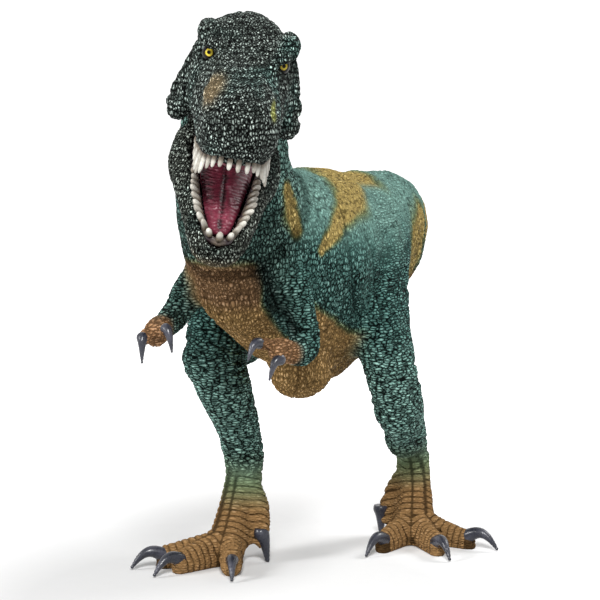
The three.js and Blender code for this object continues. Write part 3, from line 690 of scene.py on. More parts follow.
# lumps of clay in the head's own frame: middle and radii; those off the middle line are mirrored
headClay = [
    ((9.4, -14.5, 1.6), (3.4, 5.6, 5.6)),    # cheekbone, from the eye out to the flap
    ((9.2, -15, 7.5), (2.8, 4.6, 5.4)),      # plate behind the eye
    ((7.3, -22.6, 14.4), (2.2, 4.4, 1.7)),   # brow over the eye
    ((5.6, -27.6, 12.6), (1.6, 4.2, 1.5)),   # ridge in front of the eye
    ((12.2, -13.4, -4.8), (2.2, 3.6, 2.6)),  # lower corner of the flap
    ((0, -12.5, 14.4), (6.5, 6, 3.2)),       # crown
    ((5.2, -50, 3.4), (3.6, 5.4, 5)),        # square corner of the snout
    ((5.4, -3, 3.4), (6, 3.7, 3.6)),         # fills the hollow between skull and neck
]
# rolls of clay: places and radii
headRolls = [
    [(9.6, -16, 13.4, 1.5), (11, -15, 8, 1.8), (12.5, -14.2, 2, 1.9), (13.4, -13.8, -4.4, 1.7)],  # edge of the cheek
    [(9.8, -18.6, 8.2, 1.4), (11, -17.6, 3, 1.7), (12, -16.8, -4, 1.5)],
    [(8.6, -25, 13, 0.9), (9.5, -21.5, 13.6, 1.2), (9.9, -18, 13.2, 1.2)],  # upper lid
    [(8.6, -24.6, 9, 0.8), (9.3, -21.2, 8.3, 0.9), (9.7, -18.4, 9, 0.9)],  # lower lid
    [(8.2, -32, -2.2, 0.9), (7.6, -42, -3.2, 1.0), (6.3, -50, -2.6, 1.1), (3.4, -54.6, -1.4, 1.1),
     (0, -55.6, -1.1, 1.1)],  # lip
]
# rows of knobs: ends, how many and their radius
headKnobs = [
    ((10.6, -13.4, 15), (7.6, -26, 14.8), 7, 1.05),
    ((8.8, -14.5, 16.2), (6.8, -22, 16.2), 4, 0.9),
    ((12, -14.4, 5), (13.9, -13.8, -5.6), 8, 0.75),
    ((13.4, -14.4, -6.2), (9.8, -20, -4.4), 7, 0.65),
]
# dabs pressed into or out of the smooth skin: middle, radii and height
headDabs = [
    ((9.2, -27.5, 8), (1.8, 3.4, 2.2), -0.9),    # hollow in front of the eye
    ((9.4, -34, 4), (1.6, 6, 2.4), -0.6),        # hollow of the cheek
    ((2.9, -54.6, 9.2), (0.9, 1.5, 0.9), -1.9),  # nostril
    ((3.9, -53.4, 10), (1.5, 2.2, 1.3), 0.5),    # rim of the nostril
    ((0, -30, 13.5), (1.1, 9, 2), -0.6),         # groove along the snout
    ((3.2, -38, 12.2), (1.2, 10, 1.4), 0.5),     # ridges along the snout
]
headInks = bodyInks | {
    "head": ink(104, 114, 108), "snoutPatch": ink(164, 138, 96), "snoutStreak": ink(170, 174, 84),
    "underEye": ink(120, 108, 140), "socket": ink(18, 19, 19), "mouth": ink(40, 12, 17),
}
eyeParams = {
    "centre": (7.75, -21.17, 11.04), "radius": 2.05, "gaze": (0.3, -0.92, 0.25), "lid": 2.3, "lidHeight": 0.5,
    "lidWidth": 0.5,
}


def bothSides(place):
    x, y, z = place
    return [(x, y, z)] if x == 0 else [(x, y, z), (-x, y, z)]


def sculptHeadClay(bm):
    for centre, radii in headClay:
        for place in bothSides(centre):
            addClay(bm, fromHead(place), radii, headAxes)
    for rows, side in product(headRolls, (1, -1)):
        addRoll(bm, [(*fromHead((side * x, y, z)), radius) for x, y, z, radius in rows], 8)
    for start, end, count, radius in headKnobs:
        for along in np.linspace(0, 1, count):
            spot = np.array(start) + (np.array(end) - np.array(start)) * along
            for place in bothSides(spot):
                jog = hashed(np.array([place]) * 3.7)[0] - 0.5
                size = radius * (1 + 0.5 * jog[0])
                addClay(bm, fromHead(np.array(place) + jog * 1.1), (size * 0.85, size * 0.8, size * 1.35), headAxes)


def sculptHead(mesh):
    points, normals = readPoints(mesh), readNormals(mesh)
    local = inHead(points)
    push = np.zeros(len(points))
    for centre, radii, height in headDabs:
        for place in bothSides(centre):
            push += height * softSpot(local, place, radii)
    for place in bothSides(eyeParams["centre"]):
        far = np.sqrt(((local - np.array(place)) ** 2).sum(1))
        push += eyeParams["lidHeight"] * np.exp(-((far - eyeParams["lid"]) / eyeParams["lidWidth"]) ** 2)
    brow = np.maximum(*[softSpot(local, c, (3.5, 8, 3.5)) for c in bothSides((8.4, -19, 15.4))])
    flap = np.maximum(*[softSpot(local, c, (3.5, 6, 8)) for c in bothSides((13.5, -14, -2))])
    rough = (wrinkles(local * (1, 0.55, 1), 1.25) - 0.15) * np.maximum(brow, flap)
    front = smoothStep(-47, -52, local[:, 1]) * smoothStep(-1, 1, local[:, 2])
    rough -= smoothStep(0.2, 0.9, wrinkles(local * (1, 0.5, 0.25), 2.1)) * front * 0.45
    writePoints(mesh, points + normals * (push + rough)[:, None])


def headColour(points, weights):
    local = inHead(points)
    drift = smoothNoise(points, 7) * 0.6 + smoothNoise(points, 3) * 0.3
    side = smoothStep(-1, 6, local[:, 0]) * 0.35
    patch = softSpot(local, (-7.5, -42, 9), (5, 14, 7))
    streak = softSpot(local, (6.4, -48.5, 8), (1.2, 8, 3.4))
    coats = [
        ("teal", smoothStep(0.1, 0.8, drift + 0.2) * (0.3 + side)),
        ("snoutPatch", smoothStep(0.3, 0.9, patch + 0.2 * drift) * 0.7),
        ("snoutStreak", smoothStep(0.3, 0.8, streak + 0.12 * drift) * 0.85),
    ]
    for x, y, z in bothSides(eyeParams["centre"]):
        below = softSpot(local, (x * 1.05, y - 2, z - 3), (2, 2.4, 1.6))
        around = softSpot(local, (x, y, z), (2.7, 2.7, 2.7))
        coats.append(("underEye", smoothStep(0.35, 0.8, below) * 0.45))
        coats.append(("socket", smoothStep(0.22, 0.4, around) * 0.8))
    inside = smoothStep(9, 7.6, np.abs(local[:, 0])) * smoothStep(-1.6, -3.4, local[:, 2])
    inside = inside * smoothStep(-53, -50, local[:, 1]) * smoothStep(-15, -19, local[:, 1])
    return painted(points, headInks, "head", coats + [("mouth", inside), ("neck", weights["neck"] * 0.8)])


# Beads, soft lumps and folds of the head and the jaw; bare skin has no beads
def beadRelief(points, local, values, bare=0):
    beads = scalePattern(points + drifted(points, 4, values["scaleDrift"]), values["scaleSize"])
    beads = beads * (1 - bare) + bare
    lumps = smoothNoise(points, 4.5) * values["lumps"]
    folds = smoothStep(0.3, 0.9, wrinkles(local * values["foldStretch"], values["foldSize"])) * values["foldDepth"]
    push = lumps - values["sink"] - folds - values["scaleDepth"] * (1 - beads)
    # pebble drops in the folds, where the skin paint puts its wash and painted shade
    return push, beads * (1 - folds), np.zeros(len(points))


def headRelief(points, normals, weights):
    local = inHead(points)
    mouth = smoothStep(8.6, 7.6, np.abs(local[:, 0])) * smoothStep(-1.6, -3.4, local[:, 2])
    push, pebbles, calm = beadRelief(points, local, headSkin, mouth)
    push -= overlapDip * smoothStep(0.5, 0.85, weights["neck"])  # goes under the body skin
    return push, pebbles, calm


print("head skin")
wholeHead = fusedSkin(["skull", "neck"], "wholeHead", headSkin, sculptHeadClay)
sculptHead(wholeHead.data)
shares = finishSkin(wholeHead, ["skull", "neck"], headRelief, headColour, headSkin["blur"])
pieces["skull"] = takePiece(wholeHead, shares[0] > skullOverlap, "skullSkin")
dropObject(wholeHead)


# Lower jaw

jawSkin = headSkin | {
    "voxel": 0.5, "steps": 8, "grow": 0.1, "lip": 1.0, "lumps": 0.16, "sink": 0.2,
    "foldStretch": (1, 0.35, 1), "foldSize": 3.2, "foldDepth": 0.25,
}
jawInks = headInks | {"jaw": ink(102, 109, 100)}
lowerArch = [(0, -46.6, 0), (2.2, -45.6, 0), (3.7, -41.7, 0), (5, -35.3, 0), (6.1, -28.4, 0), (7, -22.5, 0)]
upperArch = [
    (0, -54.4, -1.4), (3.6, -53.4, -1.7), (6.2, -48.7, -2.9), (7.4, -39.4, -3.6), (8.2, -29, -3.1), (9, -20.9, -2.4),
]


def wholeArch(half):
    return np.array([(-x, y, z) for x, y, z in half[:0:-1]] + list(half), float)


# The lip lies along the arch, just outside the teeth
def jawClay(bm):
    arch = wholeArch(lowerArch)
    out = arch * (1.0, 1.0, 0) + (0, 24, 0)
    out /= np.linalg.norm(out, axis=1, keepdims=True)
    for start, end, away in zip(arch, arch[1:], out[1:] + out[:-1]):
        for t in np.linspace(0, 1, 6):
            spot = start + (end - start) * t + away * 0.95 - (0, 0, 1.5)
            addClay(bm, fromJaw(spot), (jawSkin["lip"],) * 3)


def jawColour(points, weights):
    local = inJaw(points)
    drift = smoothNoise(points, 6) * 0.6 + smoothNoise(points, 3) * 0.3
    rim = softSpot(local, (0, -46, -7), (12, 5, 4))
    arch = np.interp(-local[:, 1], [8, 22, 28, 35, 41, 45, 47], [8, 7.2, 6.2, 5.1, 3.8, 2.2, 0])
    inside = smoothStep(0.6, -0.2, np.abs(local[:, 0]) - arch) * (local[:, 1] > -47)
    inside = inside * smoothStep(-11.5, -9.5, local[:, 2] - 0.12 * local[:, 1])
    return painted(points, jawInks, "jaw", [
        ("tealDark", smoothStep(0, 0.8, drift + 0.1) * 0.6), ("belly", smoothStep(0.3, 0.9, rim) * 0.3),
        ("mouth", np.clip(inside, 0, 1)),
    ])


def jawRelief(points, normals, weights):
    return beadRelief(points, inJaw(points), jawSkin)


print("lower jaw")
jawPiece = fusedSkin(["lower_jaw"], "lowerJawSkin", jawSkin, jawClay)
finishSkin(jawPiece, ["lower_jaw"], jawRelief, jawColour)
jawPiece.data.attributes.remove(jawPiece.data.attributes["shading"])
pieces["lower_jaw"] = jawPiece


# Teeth with their gums, and the tongue and roof of the mouth

softSkin = {"voxel": 0.4, "steps": 8, "grow": 0.2}  # tongue and roof of the mouth
tongueParams = {"groove": 0.45, "grooveWidth": 0.7, "ridge": 0.18, "ridgeStep": 1.1, "lumps": 0.3}
palateParams = {"ridge": 0.5, "ridgeStep": 3.6}
toothSkin = {"voxel": 0.16, "steps": 2, "embed": 0.56, "flatness": 0.85}
mouthInks = {
    "ivory": ink(206, 203, 193), "ivoryDark": ink(116, 104, 88), "gap": ink(70, 60, 54), "gum": ink(30, 14, 18),
    "tongue": ink(122, 46, 64), "tonguePale": ink(206, 150, 162), "tongueDark": ink(56, 15, 25),
    "flesh": ink(120, 48, 60), "fleshDark": ink(40, 12, 17),
}
# one row of pegs: lengths from the front back, how far they lean out, and the gum's thickness
upperRow = {"count": 38, "lengths": (3.0, 3.4, 6.2, 4.2, 0.7, 0.6, 0.6), "lean": (4, 12), "width": 0.6, "gum": 0.6}
lowerRow = {"count": 23, "lengths": (2.6, 3.0, 3.3, 3.2, 2.4, 0.6), "lean": (10, 40), "width": 0.78, "gum": 0.55}


def alongArch(arch, share):
    lengths = np.concatenate([[0], np.cumsum(np.linalg.norm(np.diff(arch, axis=0), axis=1))])
    place = share * lengths[-1]
    return np.array([np.interp(place, lengths, arch[:, k]) for k in range(3)])


# One blunt peg: a ball with a squarer end
def addPeg(bm, place):
    made = bmesh.ops.create_uvsphere(bm, u_segments=12, v_segments=12, radius=1.0)["verts"]
    for v in made:
        v.co.z = math.copysign(abs(v.co.z) ** 0.8, v.co.z)
        flat = math.hypot(v.co.x, v.co.y)
        if flat > 1e-6:
            wide = (1 - abs(v.co.z) ** 2.6) ** 0.5 / flat
            v.co.x, v.co.y = v.co.x * wide, v.co.y * wide
    bmesh.ops.transform(bm, matrix=place, verts=made)


# Ivory over a dark gum, darker at the roots, with painted shade between the pegs and on every other peg
def paintTeeth(mesh, local, arch, count, upDown):
    points = readPoints(mesh)
    half = arch[len(arch) // 2:][::-1]
    line = np.interp(-local[:, 1], -half[:, 1], half[:, 2])
    standing = upDown * (local[:, 2] - line) + smoothNoise(points, 1.6) * 0.2
    length = np.linalg.norm(np.diff(arch, axis=0), axis=1).sum()
    peg = lineField(local, arch)[1] / length * count
    fromPeg = np.abs(peg % 1 - 0.5)
    storeValues(mesh, "paint", painted(points, mouthInks, "gum", [
        ("ivoryDark", smoothStep(0.3, 0.8, standing)), ("ivory", smoothStep(0.8, 2.2, standing)),
        # every other peg a little darker: painted shade that tells overlapping pegs apart
        ("ivoryDark", 0.45 * (np.floor(peg) % 2)),  # tells long pegs apart
        # painted shade between the pegs
        ("gap", smoothStep(0.24, 0.42, fromPeg) * 0.85),
    ]))


# A row of pegs in a gum, along an arch from side to side
def makeTeeth(node, arch, values, toPart, axes, upDown):
    arch = wholeArch(arch)
    bm = bmesh.new()
    for index in range(values["count"]):
        share = (index + 0.5) / values["count"]
        spot = alongArch(arch, share)
        ahead = alongArch(arch, min(share + 0.02, 1)) - alongArch(arch, max(share - 0.02, 0))
        ahead = Vector(ahead).normalized()
        back = abs(2 * share - 1) * (len(values["lengths"]) - 1)
        length = np.interp(back, range(len(values["lengths"])), values["lengths"])
        length *= 1 + 0.3 * (hashed(np.array([[index, 3.0, upDown]]))[0][0] - 0.5)
        out = Vector((ahead.y, -ahead.x, 0))
        if out.dot(Vector((spot[0], spot[1] + 24, 0))) < 0:
            out = -out
        lean = math.radians(np.interp(abs(2 * share - 1), (0, 0.4), values["lean"]))
        up = (Vector((0, 0, upDown)) * math.cos(lean) + out * math.sin(lean)).normalized()
        turn = Matrix((ahead, up.cross(ahead), up)).transposed()
        width = values["width"]
        size = Matrix.Diagonal((width, width * toothSkin["flatness"], length * toothSkin["embed"]))
        middle = Vector(spot) + up * length * (1 - toothSkin["embed"])
        spread = (Matrix(axes.tolist()) @ turn @ size * mm).to_4x4()
        addPeg(bm, Matrix.Translation(Vector(toPart(middle)) * mm) @ spread)
    for share in np.linspace(0, 1, 90):
        spot = alongArch(arch, share) - np.array((0, 0, upDown)) * 0.55
        addClay(bm, toPart(spot), (values["gum"], values["gum"], 0.9))
    bmesh.ops.recalc_face_normals(bm, faces=bm.faces)
    obj = fromBmesh(skinName(node), bm)
    voxelRemesh(obj, toothSkin["voxel"])
    keepLargest(obj)
    relaxSkin(obj.data, toothSkin["steps"])
    local = (readPoints(obj.data) - toPart(np.zeros(3))) @ axes
    paintTeeth(obj.data, local, arch, values["count"], upDown)
    return obj


def makeTongue():
    values = tongueParams
    obj = fusedSkin(["tongue"], "tongueSkin", softSkin)
    subdivide(obj)
    points, normals = readPoints(obj.data), readNormals(obj.data)
    local = inJaw(points)
    top = smoothStep(0.1, 0.6, (normals @ jawAxes)[:, 2])
    groove = np.exp(-(local[:, 0] / values["grooveWidth"]) ** 2) * top
    arc = local[:, 1] - 0.06 * local[:, 0] ** 2 + 0.5 * smoothNoise(points, 4)
    ridge = 0.5 + 0.5 * np.cos((arc + 0.4 * smoothNoise(points + 5, 1.5)) * 2 * math.pi / values["ridgeStep"])
    push = -values["groove"] * groove - values["ridge"] * (1 - ridge) * top
    push += values["lumps"] * smoothNoise(points, 3.5) * top
    crest = np.exp(-((np.abs(local[:, 0]) - 1.5) / 1.0) ** 2) * top
    # dark in the groove and between the ridges as painted shade, pale specks on the crests as painted highlight
    height = np.clip(0.38 + 0.24 * ridge - 0.4 * groove + 0.25 * crest + 0.3 * smoothNoise(points, 2), 0, 1)
    bumps = smoothStep(-0.2, 0.6, smoothNoise(points, 0.8))
    coats = [("tongue", smoothStep(0.1, 0.55, height)), ("tonguePale", smoothStep(0.6, 1, height * bumps) * 0.6)]
    storeValues(obj.data, "paint", painted(points, mouthInks, "tongueDark", coats))
    writePoints(obj.data, points + normals * push[:, None])
    return obj


def makePalate():
    obj = fusedSkin(["palate"], "palateSkin", softSkin)
    points, normals = readPoints(obj.data), readNormals(obj.data)
    local = inHead(points)
    along = local[:, 1] + 0.15 * np.abs(local[:, 0])
    ridge = 0.5 + 0.5 * np.cos(along * 2 * math.pi / palateParams["ridgeStep"])
    storeValues(obj.data, "paint", painted(points, mouthInks, "fleshDark", [("flesh", ridge * 0.8)]))
    writePoints(obj.data, points - normals * (palateParams["ridge"] * (1 - ridge))[:, None])
    return obj


print("mouth")
pieces["upper_teeth"] = makeTeeth("upper_teeth", upperArch, upperRow, fromHead, headAxes, -1)
pieces["lower_teeth"] = makeTeeth("lower_teeth", lowerArch, lowerRow, fromJaw, jawAxes, 1)
pieces["tongue"] = makeTongue()
pieces["palate"] = makePalate()


# Eyes and claws

def makeEye(side):
    node = "left_eye" if side > 0 else "right_eye"
    x, y, z = eyeParams["centre"]
    bm = bmesh.new()
    bmesh.ops.create_uvsphere(bm, u_segments=48, v_segments=32, radius=eyeParams["radius"] * mm)
    centre = Vector(fromHead((side * x, y, z))) * mm
    bmesh.ops.translate(bm, verts=bm.verts, vec=centre)
    obj = fromBmesh(skinName(node).replace("Skin", "Ball"), bm)
    obj.data.shade_smooth()
    gaze = np.array(eyeParams["gaze"]) * (side, 1, 1)
    gaze = gaze / np.linalg.norm(gaze) * eyeParams["radius"] + (side * x, y, z)
    far = np.sqrt(((inHead(readPoints(obj.data)) - gaze) ** 2).sum(1))
    storeValues(obj.data, "fromPupil", far)
    return obj


clawParams = {
    "voxel": 0.24, "steps": 3, "arch": 0.2, "droop": 1.3, "wideLong": 0.21, "wideShort": 0.29, "taper": 0.74,
    "rearLift": 3.2, "reach": 0.84, "room": 1.2,
}
clawInks = {"claw": ink(36, 38, 48), "tip": ink(84, 84, 96)}


# A hooked claw from the root to the point of the casting that it stands for
def makeClaw(node):
    low, high = (np.array(c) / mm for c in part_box(node))
    ends = np.array([v.co for v in nodes[node].data.vertices]) / mm
    middle = ends.mean(axis=0)
    tip = ends[np.argmax(((ends - middle) ** 2).sum(1))]
    far = np.sqrt(((ends - tip) ** 2).sum(1))
    first, second = ends[far < 0.15 * far.max()], ends[far > 0.85 * far.max()]
    spread = [np.ptp(e, axis=0).max() for e in (first, second)]
    wide, thin = (first, second) if spread[0] > spread[1] else (second, first)
    root, tip = wide.mean(axis=0), thin.mean(axis=0)
    if "rear" in node:
        root, tip = (root, tip) if root[2] > tip[2] else (tip, root)
        root[2] += clawParams["rearLift"]
    else:
        tip = root + (tip - root) * clawParams["reach"]
    length = np.linalg.norm(tip - root)
    radius = length * (clawParams["wideLong"] if length > 8 else clawParams["wideShort"])
    bm = bmesh.new()
    for t in np.linspace(0, 1, 14):
        spot = root + (tip - root) * t * 0.94
        spot[2] += clawParams["arch"] * length * math.sin(math.pi * t) - clawParams["droop"] * t ** 3
        size = radius * (1 - clawParams["taper"] * t ** 1.3)
        spot = np.maximum(spot, (-1e9, -1e9, size + 0.1))
        addClay(bm, spot, (size, size, size))
    obj = fromBmesh(skinName(node), bm)
    voxelRemesh(obj, clawParams["voxel"])
    keepLargest(obj)
    relaxSkin(obj.data, clawParams["steps"])
    room = clawParams["room"]  # how far a claw may stand out of its casting's box
    points = np.clip(readPoints(obj.data), low - room, high + (room, room, 4))
    points[:, 2] = np.maximum(points[:, 2], 0.02)
    writePoints(obj.data, points)
    shade = smoothStep(-0.5, 0.9, smoothNoise(points, 2.2))
    storeValues(obj.data, "paint", painted(points, clawInks, "claw", [("tip", shade * 0.5)]))
    return obj


print("eyes and claws")
pieces["left_eye"] = makeEye(1)
pieces["right_eye"] = makeEye(-1)
clawNodes = [node for node in nodes if node.endswith("claw")]
for node in clawNodes:
    pieces[node] = makeClaw(node)


# Paints

def newMaterial(name):
    material = bpy.data.materials.new(name)
    material.use_nodes = True
    return material, material.node_tree, material.node_tree.nodes["Principled BSDF"]


# Sets sockets to numbers and colours, and links the ones that are given another node's output
def fill(tree, node, inputs):
    for key, value in inputs.items():
        socket = node.inputs[key]
        if isinstance(value, bpy.types.NodeSocket):
            tree.links.new(value, socket)
        else:
            socket.default_value = (*value, 1) if socket.type == "RGBA" else value


def addNode(tree, kind, inputs=None, **settings):
    node = tree.nodes.new(kind)
    for key, value in settings.items():
        setattr(node, key, value)
    fill(tree, node, inputs or {})
    return node


def objectNoise(tree, scale):
    place = addNode(tree, "ShaderNodeTexCoord").outputs["Object"]
    return addNode(tree, "ShaderNodeTexNoise", {"Vector": place, "Scale": scale, "Detail": 3.0}).outputs["Fac"]


def remap(tree, value, fromLow, fromHigh, toLow, toHigh):
    inputs = {"Value": value, "From Min": fromLow, "From Max": fromHigh, "To Min": toLow, "To Max": toHigh}
    return addNode(tree, "ShaderNodeMapRange", inputs).outputs["Result"]


def pointValue(tree, name, socket="Fac"):
    return addNode(tree, "ShaderNodeAttribute", attribute_name=name).outputs[socket]


def combine(tree, first, second, way="MULTIPLY"):
    return addNode(tree, "ShaderNodeMath", {0: first, 1: second}, operation=way).outputs[0]


def mixColour(tree, factor, first, second):
    return addNode(tree, "ShaderNodeMix", {"Factor": factor, 6: first, 7: second}, data_type="RGBA").outputs[2]


def addBump(tree, shader, height, distance):
    bump = addNode(tree, "ShaderNodeBump", {"Height": height, "Distance": distance * mm, "Strength": 1.0})
    fill(tree, shader, {"Normal": bump.outputs["Normal"]})


# Distance to the nearest crease between cells of a size in millimetres, 0 to about 0.5
def cellEdges(tree, size, stretch):
    place = addNode(tree, "ShaderNodeTexCoord").outputs["Object"]
    bend = addNode(tree, "ShaderNodeTexNoise", {"Vector": place, "Scale": 260, "Detail": 1.0}).outputs["Color"]
    inputs = {0: bend, 1: (0.8 * mm,) * 3, 2: place}
    shift = addNode(tree, "ShaderNodeVectorMath", inputs, operation="MULTIPLY_ADD").outputs[0]
    turn = addNode(tree, "ShaderNodeMapping", {"Vector": shift, "Scale": stretch}).outputs[0]
    inputs = {"Vector": turn, "Scale": 1 / (size * mm), "Randomness": 0.7}
    return addNode(tree, "ShaderNodeTexVoronoi", inputs, feature="DISTANCE_TO_EDGE").outputs["Distance"]


# crease and crown are the distances between which a cell's dark wash with painted shade and its pale dry brush with
# painted highlight come and go
skinPaints = {
    "bodyPaint": {"bead": 0.95, "rough": (0.42, 0.58), "lift": 1.35, "dust": 0.11,
                  "crease": (0.05, 0.22), "crown": (0.19, 0.31)},
    "headPaint": {"bead": 0.8, "rough": (0.36, 0.5), "lift": 2.3, "dust": 0.31,
                  "crease": (0.08, 0.27), "crown": (0.2, 0.33)},
}
# cells stand up on the flank and lie flat on limbs
flankStretch, limbStretch = (1.25, 1.25, 0.65), (0.5, 0.5, 1.45)


# A colour times a factor, with a little pale grey on top for the dry brush and painted highlight
def scaled(tree, colour, factor, dust=0):
    inputs = {0: colour, 1: (factor,) * 3, 2: (dust * 0.92, dust, dust * 0.96)}
    return addNode(tree, "ShaderNodeVectorMath", inputs, operation="MULTIPLY_ADD").outputs[0]


# Dark wash in the creases, partly the figure's own wash and partly painted shade; pale dry brush on the scale tips,
# partly painted highlight in place of gloss; web tells how strong both are
def skinMaterial(name):
    values = skinPaints[name]
    material, tree, shader = newMaterial(name)
    base = pointValue(tree, "paint", "Color")
    pebble, web, limb = [pointValue(tree, attribute) for attribute in ("pebble", "web", "limb")]
    flank, leg = [cellEdges(tree, values["bead"], stretch) for stretch in (flankStretch, limbStretch)]
    cells = addNode(tree, "ShaderNodeMix", {"Factor": limb, "A": flank, "B": leg}, data_type="FLOAT").outputs[0]
    # the creases between cells and the low pebble values go dark: wash and painted shade
    deep = combine(tree, remap(tree, cells, *values["crease"], 1, 0), web)
    deep = combine(tree, remap(tree, pebble, 0, 0.42, 0.85, 0), deep, "MAXIMUM")
    dark = mixColour(tree, web, scaled(tree, base, 0.08), scaled(tree, base, 0.015))
    washedAndShaded = mixColour(tree, deep, base, dark)
    # the crowns of the cells go pale: dry brush and painted highlight
    tips = combine(tree, remap(tree, cells, *values["crown"], 0, 1), remap(tree, pebble, 0.1, 0.45, 0, 1))
    tips = combine(tree, tips, remap(tree, objectNoise(tree, 260), 0.42, 0.58, 0.3, 1))
    pale = scaled(tree, base, values["lift"], values["dust"])
    fill(tree, shader, {
        "Base Color": mixColour(tree, combine(tree, tips, web), washedAndShaded, pale), "Specular IOR Level": 0.01,
        "Roughness": remap(tree, objectNoise(tree, 900), 0.3, 0.7, *values["rough"]),
    })
    addBump(tree, shader, remap(tree, cells, 0, 0.32, 0, 1), 0.35 * values["bead"])
    return material


def glossMaterial(name, roughness, coat, grain, grainDepth):
    material, tree, shader = newMaterial(name)
    specks = remap(tree, objectNoise(tree, 1200), 0.35, 0.7, 0, 0.35)
    fill(tree, shader, {
        "Base Color": mixColour(tree, specks, pointValue(tree, "paint", "Color"), (0.02, 0.02, 0.02)),
        "Specular IOR Level": 0.3, "Coat Weight": coat, "Coat Roughness": 0.2,
        "Roughness": remap(tree, objectNoise(tree, 1500), 0.3, 0.7, roughness, roughness + 0.15),
    })
    addBump(tree, shader, objectNoise(tree, grain), grainDepth)
    return material


# pupil, iris and its dark rim, by millimetres from the pupil's middle
eyeStops = [
    (0, (0.003, 0.003, 0.003)), (0.38, (0.003, 0.003, 0.003)), (0.44, (0.4, 0.28, 0.02)),
    (0.6, (0.8, 0.66, 0.08)), (0.86, (0.6, 0.44, 0.04)), (0.96, (0.004, 0.004, 0.004)),
]


def eyeMaterial():
    material, tree, shader = newMaterial("eyePaint")
    ramp = addNode(tree, "ShaderNodeValToRGB", {"Fac": remap(tree, pointValue(tree, "fromPupil"), 0, 2, 0, 1)})
    elements = ramp.color_ramp.elements
    while len(elements) < len(eyeStops):
        elements.new(0.5)
    for element, (place, colour) in zip(elements, eyeStops):
        element.position = place / 2
        element.color = (*colour, 1)
    flecks = remap(tree, objectNoise(tree, 3500), 0.4, 0.7, 0, 0.06)
    fill(tree, shader, {
        "Base Color": mixColour(tree, flecks, ramp.outputs["Color"], (0.1, 0.04, 0.01)), "Roughness": 0.25,
        "Specular IOR Level": 0.08, "Coat Weight": 0.06, "Coat Roughness": 0.05,
    })
    return material


def pinMaterial():
    material, tree, shader = newMaterial("pinPlastic")
    colour = mixColour(tree, objectNoise(tree, 700), (0.02, 0.024, 0.023), (0.035, 0.04, 0.038))
    fill(tree, shader, {"Base Color": colour})
    addBump(tree, shader, objectNoise(tree, 3000), 0.05)
    return material


print("paints")
bodyPaint, headPaint = skinMaterial("bodyPaint"), skinMaterial("headPaint")
toothPaint = glossMaterial("toothPaint", 0.3, 0.05, 1800, 0.08)
tonguePaint = glossMaterial("tonguePaint", 0.3, 0.1, 2200, 0.1)
clawPaint = glossMaterial("clawPaint", 0.22, 0.25, 1600, 0.1)
finishes = {
    "skull": ("head", headPaint), "lower_jaw": ("head", headPaint), "upper_teeth": ("tooth", toothPaint),
    "lower_teeth": ("tooth", toothPaint), "tongue": ("tongue", tonguePaint), "palate": ("mouth", tonguePaint),
}
finishes.update({node: ("eye", eyeMaterial()) for node in ("left_eye", "right_eye")})
finishes.update({node: ("claw", clawPaint) for node in clawNodes})
jawNodes = ("lower_jaw", "lower_teeth", "tongue")
for node, obj in pieces.items():
    slot, material = finishes.get(node, ("body", bodyPaint))
    obj.data.materials.clear()
    obj.data.materials.append(material)
    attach(obj, "jaw" if node in jawNodes else "figure")
    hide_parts(node)
    triangles = sum(len(p.vertices) - 2 for p in obj.data.polygons)
    print(node, triangles, "triangles")
for slot in nodes["jaw_pin"].material_slots:
    slot.material = pinMaterial()


# Camera, lights and floor

cameraParams = {"azimuth": 22, "elevation": 8, "distance": 650, "target": (15.9, -36.9, 66), "lens": 156}
lampParams = {
    "key": {"place": (330, -780, 640), "size": 220, "power": 10},
    "fill": {"place": (-560, -620, 460), "size": 260, "power": 5},
    "back": {"place": (420, 420, 620), "size": 300, "power": 3},
}
worldLight = {"soft": 0.15, "seen": 1.0}
target = Vector(cameraParams["target"]) * mm
# the floor's own glow is held back round a place between the feet, in metres, so that the shadow shows
floorGlow = {"place": (0.018, -0.08, 0), "near": 0.05, "far": 0.2, "least": 0.04}


def makeCamera():
    around, above = math.radians(cameraParams["azimuth"]), math.radians(cameraParams["elevation"])
    back = Vector((math.sin(around) * math.cos(above), -math.cos(around) * math.cos(above), math.sin(above)))
    camera = bpy.data.cameras.new("camera")
    camera.lens, camera.sensor_width = cameraParams["lens"], 36
    camera.clip_start, camera.clip_end = 0.01, 50
    obj = makeObject("camera", camera)
    obj.location = target + back * cameraParams["distance"] * mm
    obj.rotation_euler = back.to_track_quat("Z", "Y").to_euler()
    bpy.context.scene.camera = obj


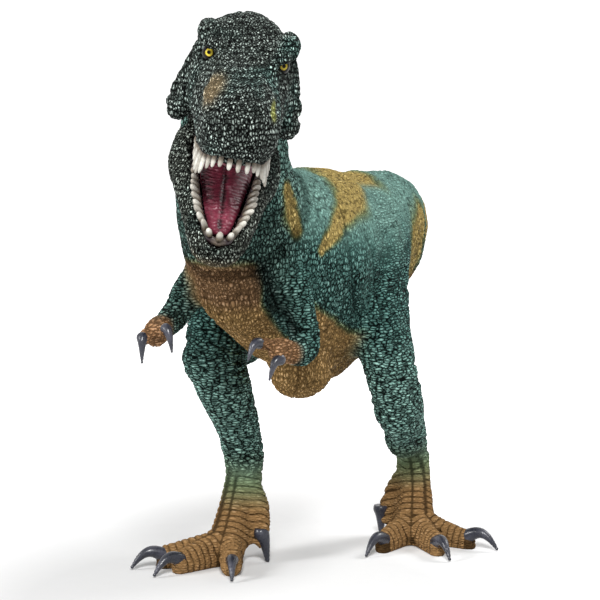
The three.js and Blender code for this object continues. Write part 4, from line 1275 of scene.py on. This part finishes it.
def makeLamps():
    for name, values in lampParams.items():
        lamp = bpy.data.lights.new(name, "AREA")
        lamp.size, lamp.energy = values["size"] * mm, values["power"]
        obj = makeObject(name, lamp)
        obj.location = Vector(values["place"]) * mm
        obj.rotation_euler = (obj.location - target).to_track_quat("Z", "Y").to_euler()


# The rays that should see a white background
def seenRays(tree):
    path = addNode(tree, "ShaderNodeLightPath").outputs
    total = path["Is Camera Ray"]
    for name in ("Is Glossy Ray", "Is Transmission Ray"):
        total = combine(tree, total, path[name], "MAXIMUM")
    return total


def makeWorld():
    world = bpy.data.worlds.new("studio")
    world.use_nodes = True
    tree = world.node_tree
    soft = tree.nodes["Background"]
    fill(tree, soft, {"Color": (1, 1, 1), "Strength": worldLight["soft"]})
    plain = addNode(tree, "ShaderNodeBackground", {"Color": (1, 1, 1), "Strength": worldLight["seen"]})
    mix = addNode(tree, "ShaderNodeMixShader", {"Fac": seenRays(tree), 1: soft.outputs[0], 2: plain.outputs[0]})
    fill(tree, tree.nodes["World Output"], {"Surface": mix.outputs[0]})
    bpy.context.scene.world = world


# White floor that keeps the shadow: the camera also sees a little of its own glow
def makeFloor():
    bm = bmesh.new()
    bmesh.ops.create_grid(bm, x_segments=1, y_segments=1, size=6)
    obj = fromBmesh("floor", bm)
    material, tree, shader = newMaterial("floorPaper")
    place = addNode(tree, "ShaderNodeTexCoord").outputs["Object"]
    far = addNode(tree, "ShaderNodeVectorMath", {0: place, 1: floorGlow["place"]}, operation="DISTANCE")
    spread = remap(tree, far.outputs["Value"], floorGlow["near"], floorGlow["far"], floorGlow["least"], 1)
    fill(tree, shader, {
        "Base Color": mixColour(tree, objectNoise(tree, 300), (0.73, 0.73, 0.73), (0.75, 0.75, 0.75)),
        "Roughness": 0.9, "Specular IOR Level": 0.1, "Emission Color": (1, 1, 1),
        "Emission Strength": combine(tree, seenRays(tree), spread),
    })
    obj.data.materials.append(material)


print("camera and light")
makeCamera()
makeLamps()
makeWorld()
makeFloor()
bpy.context.scene.view_settings.view_transform = "Standard"
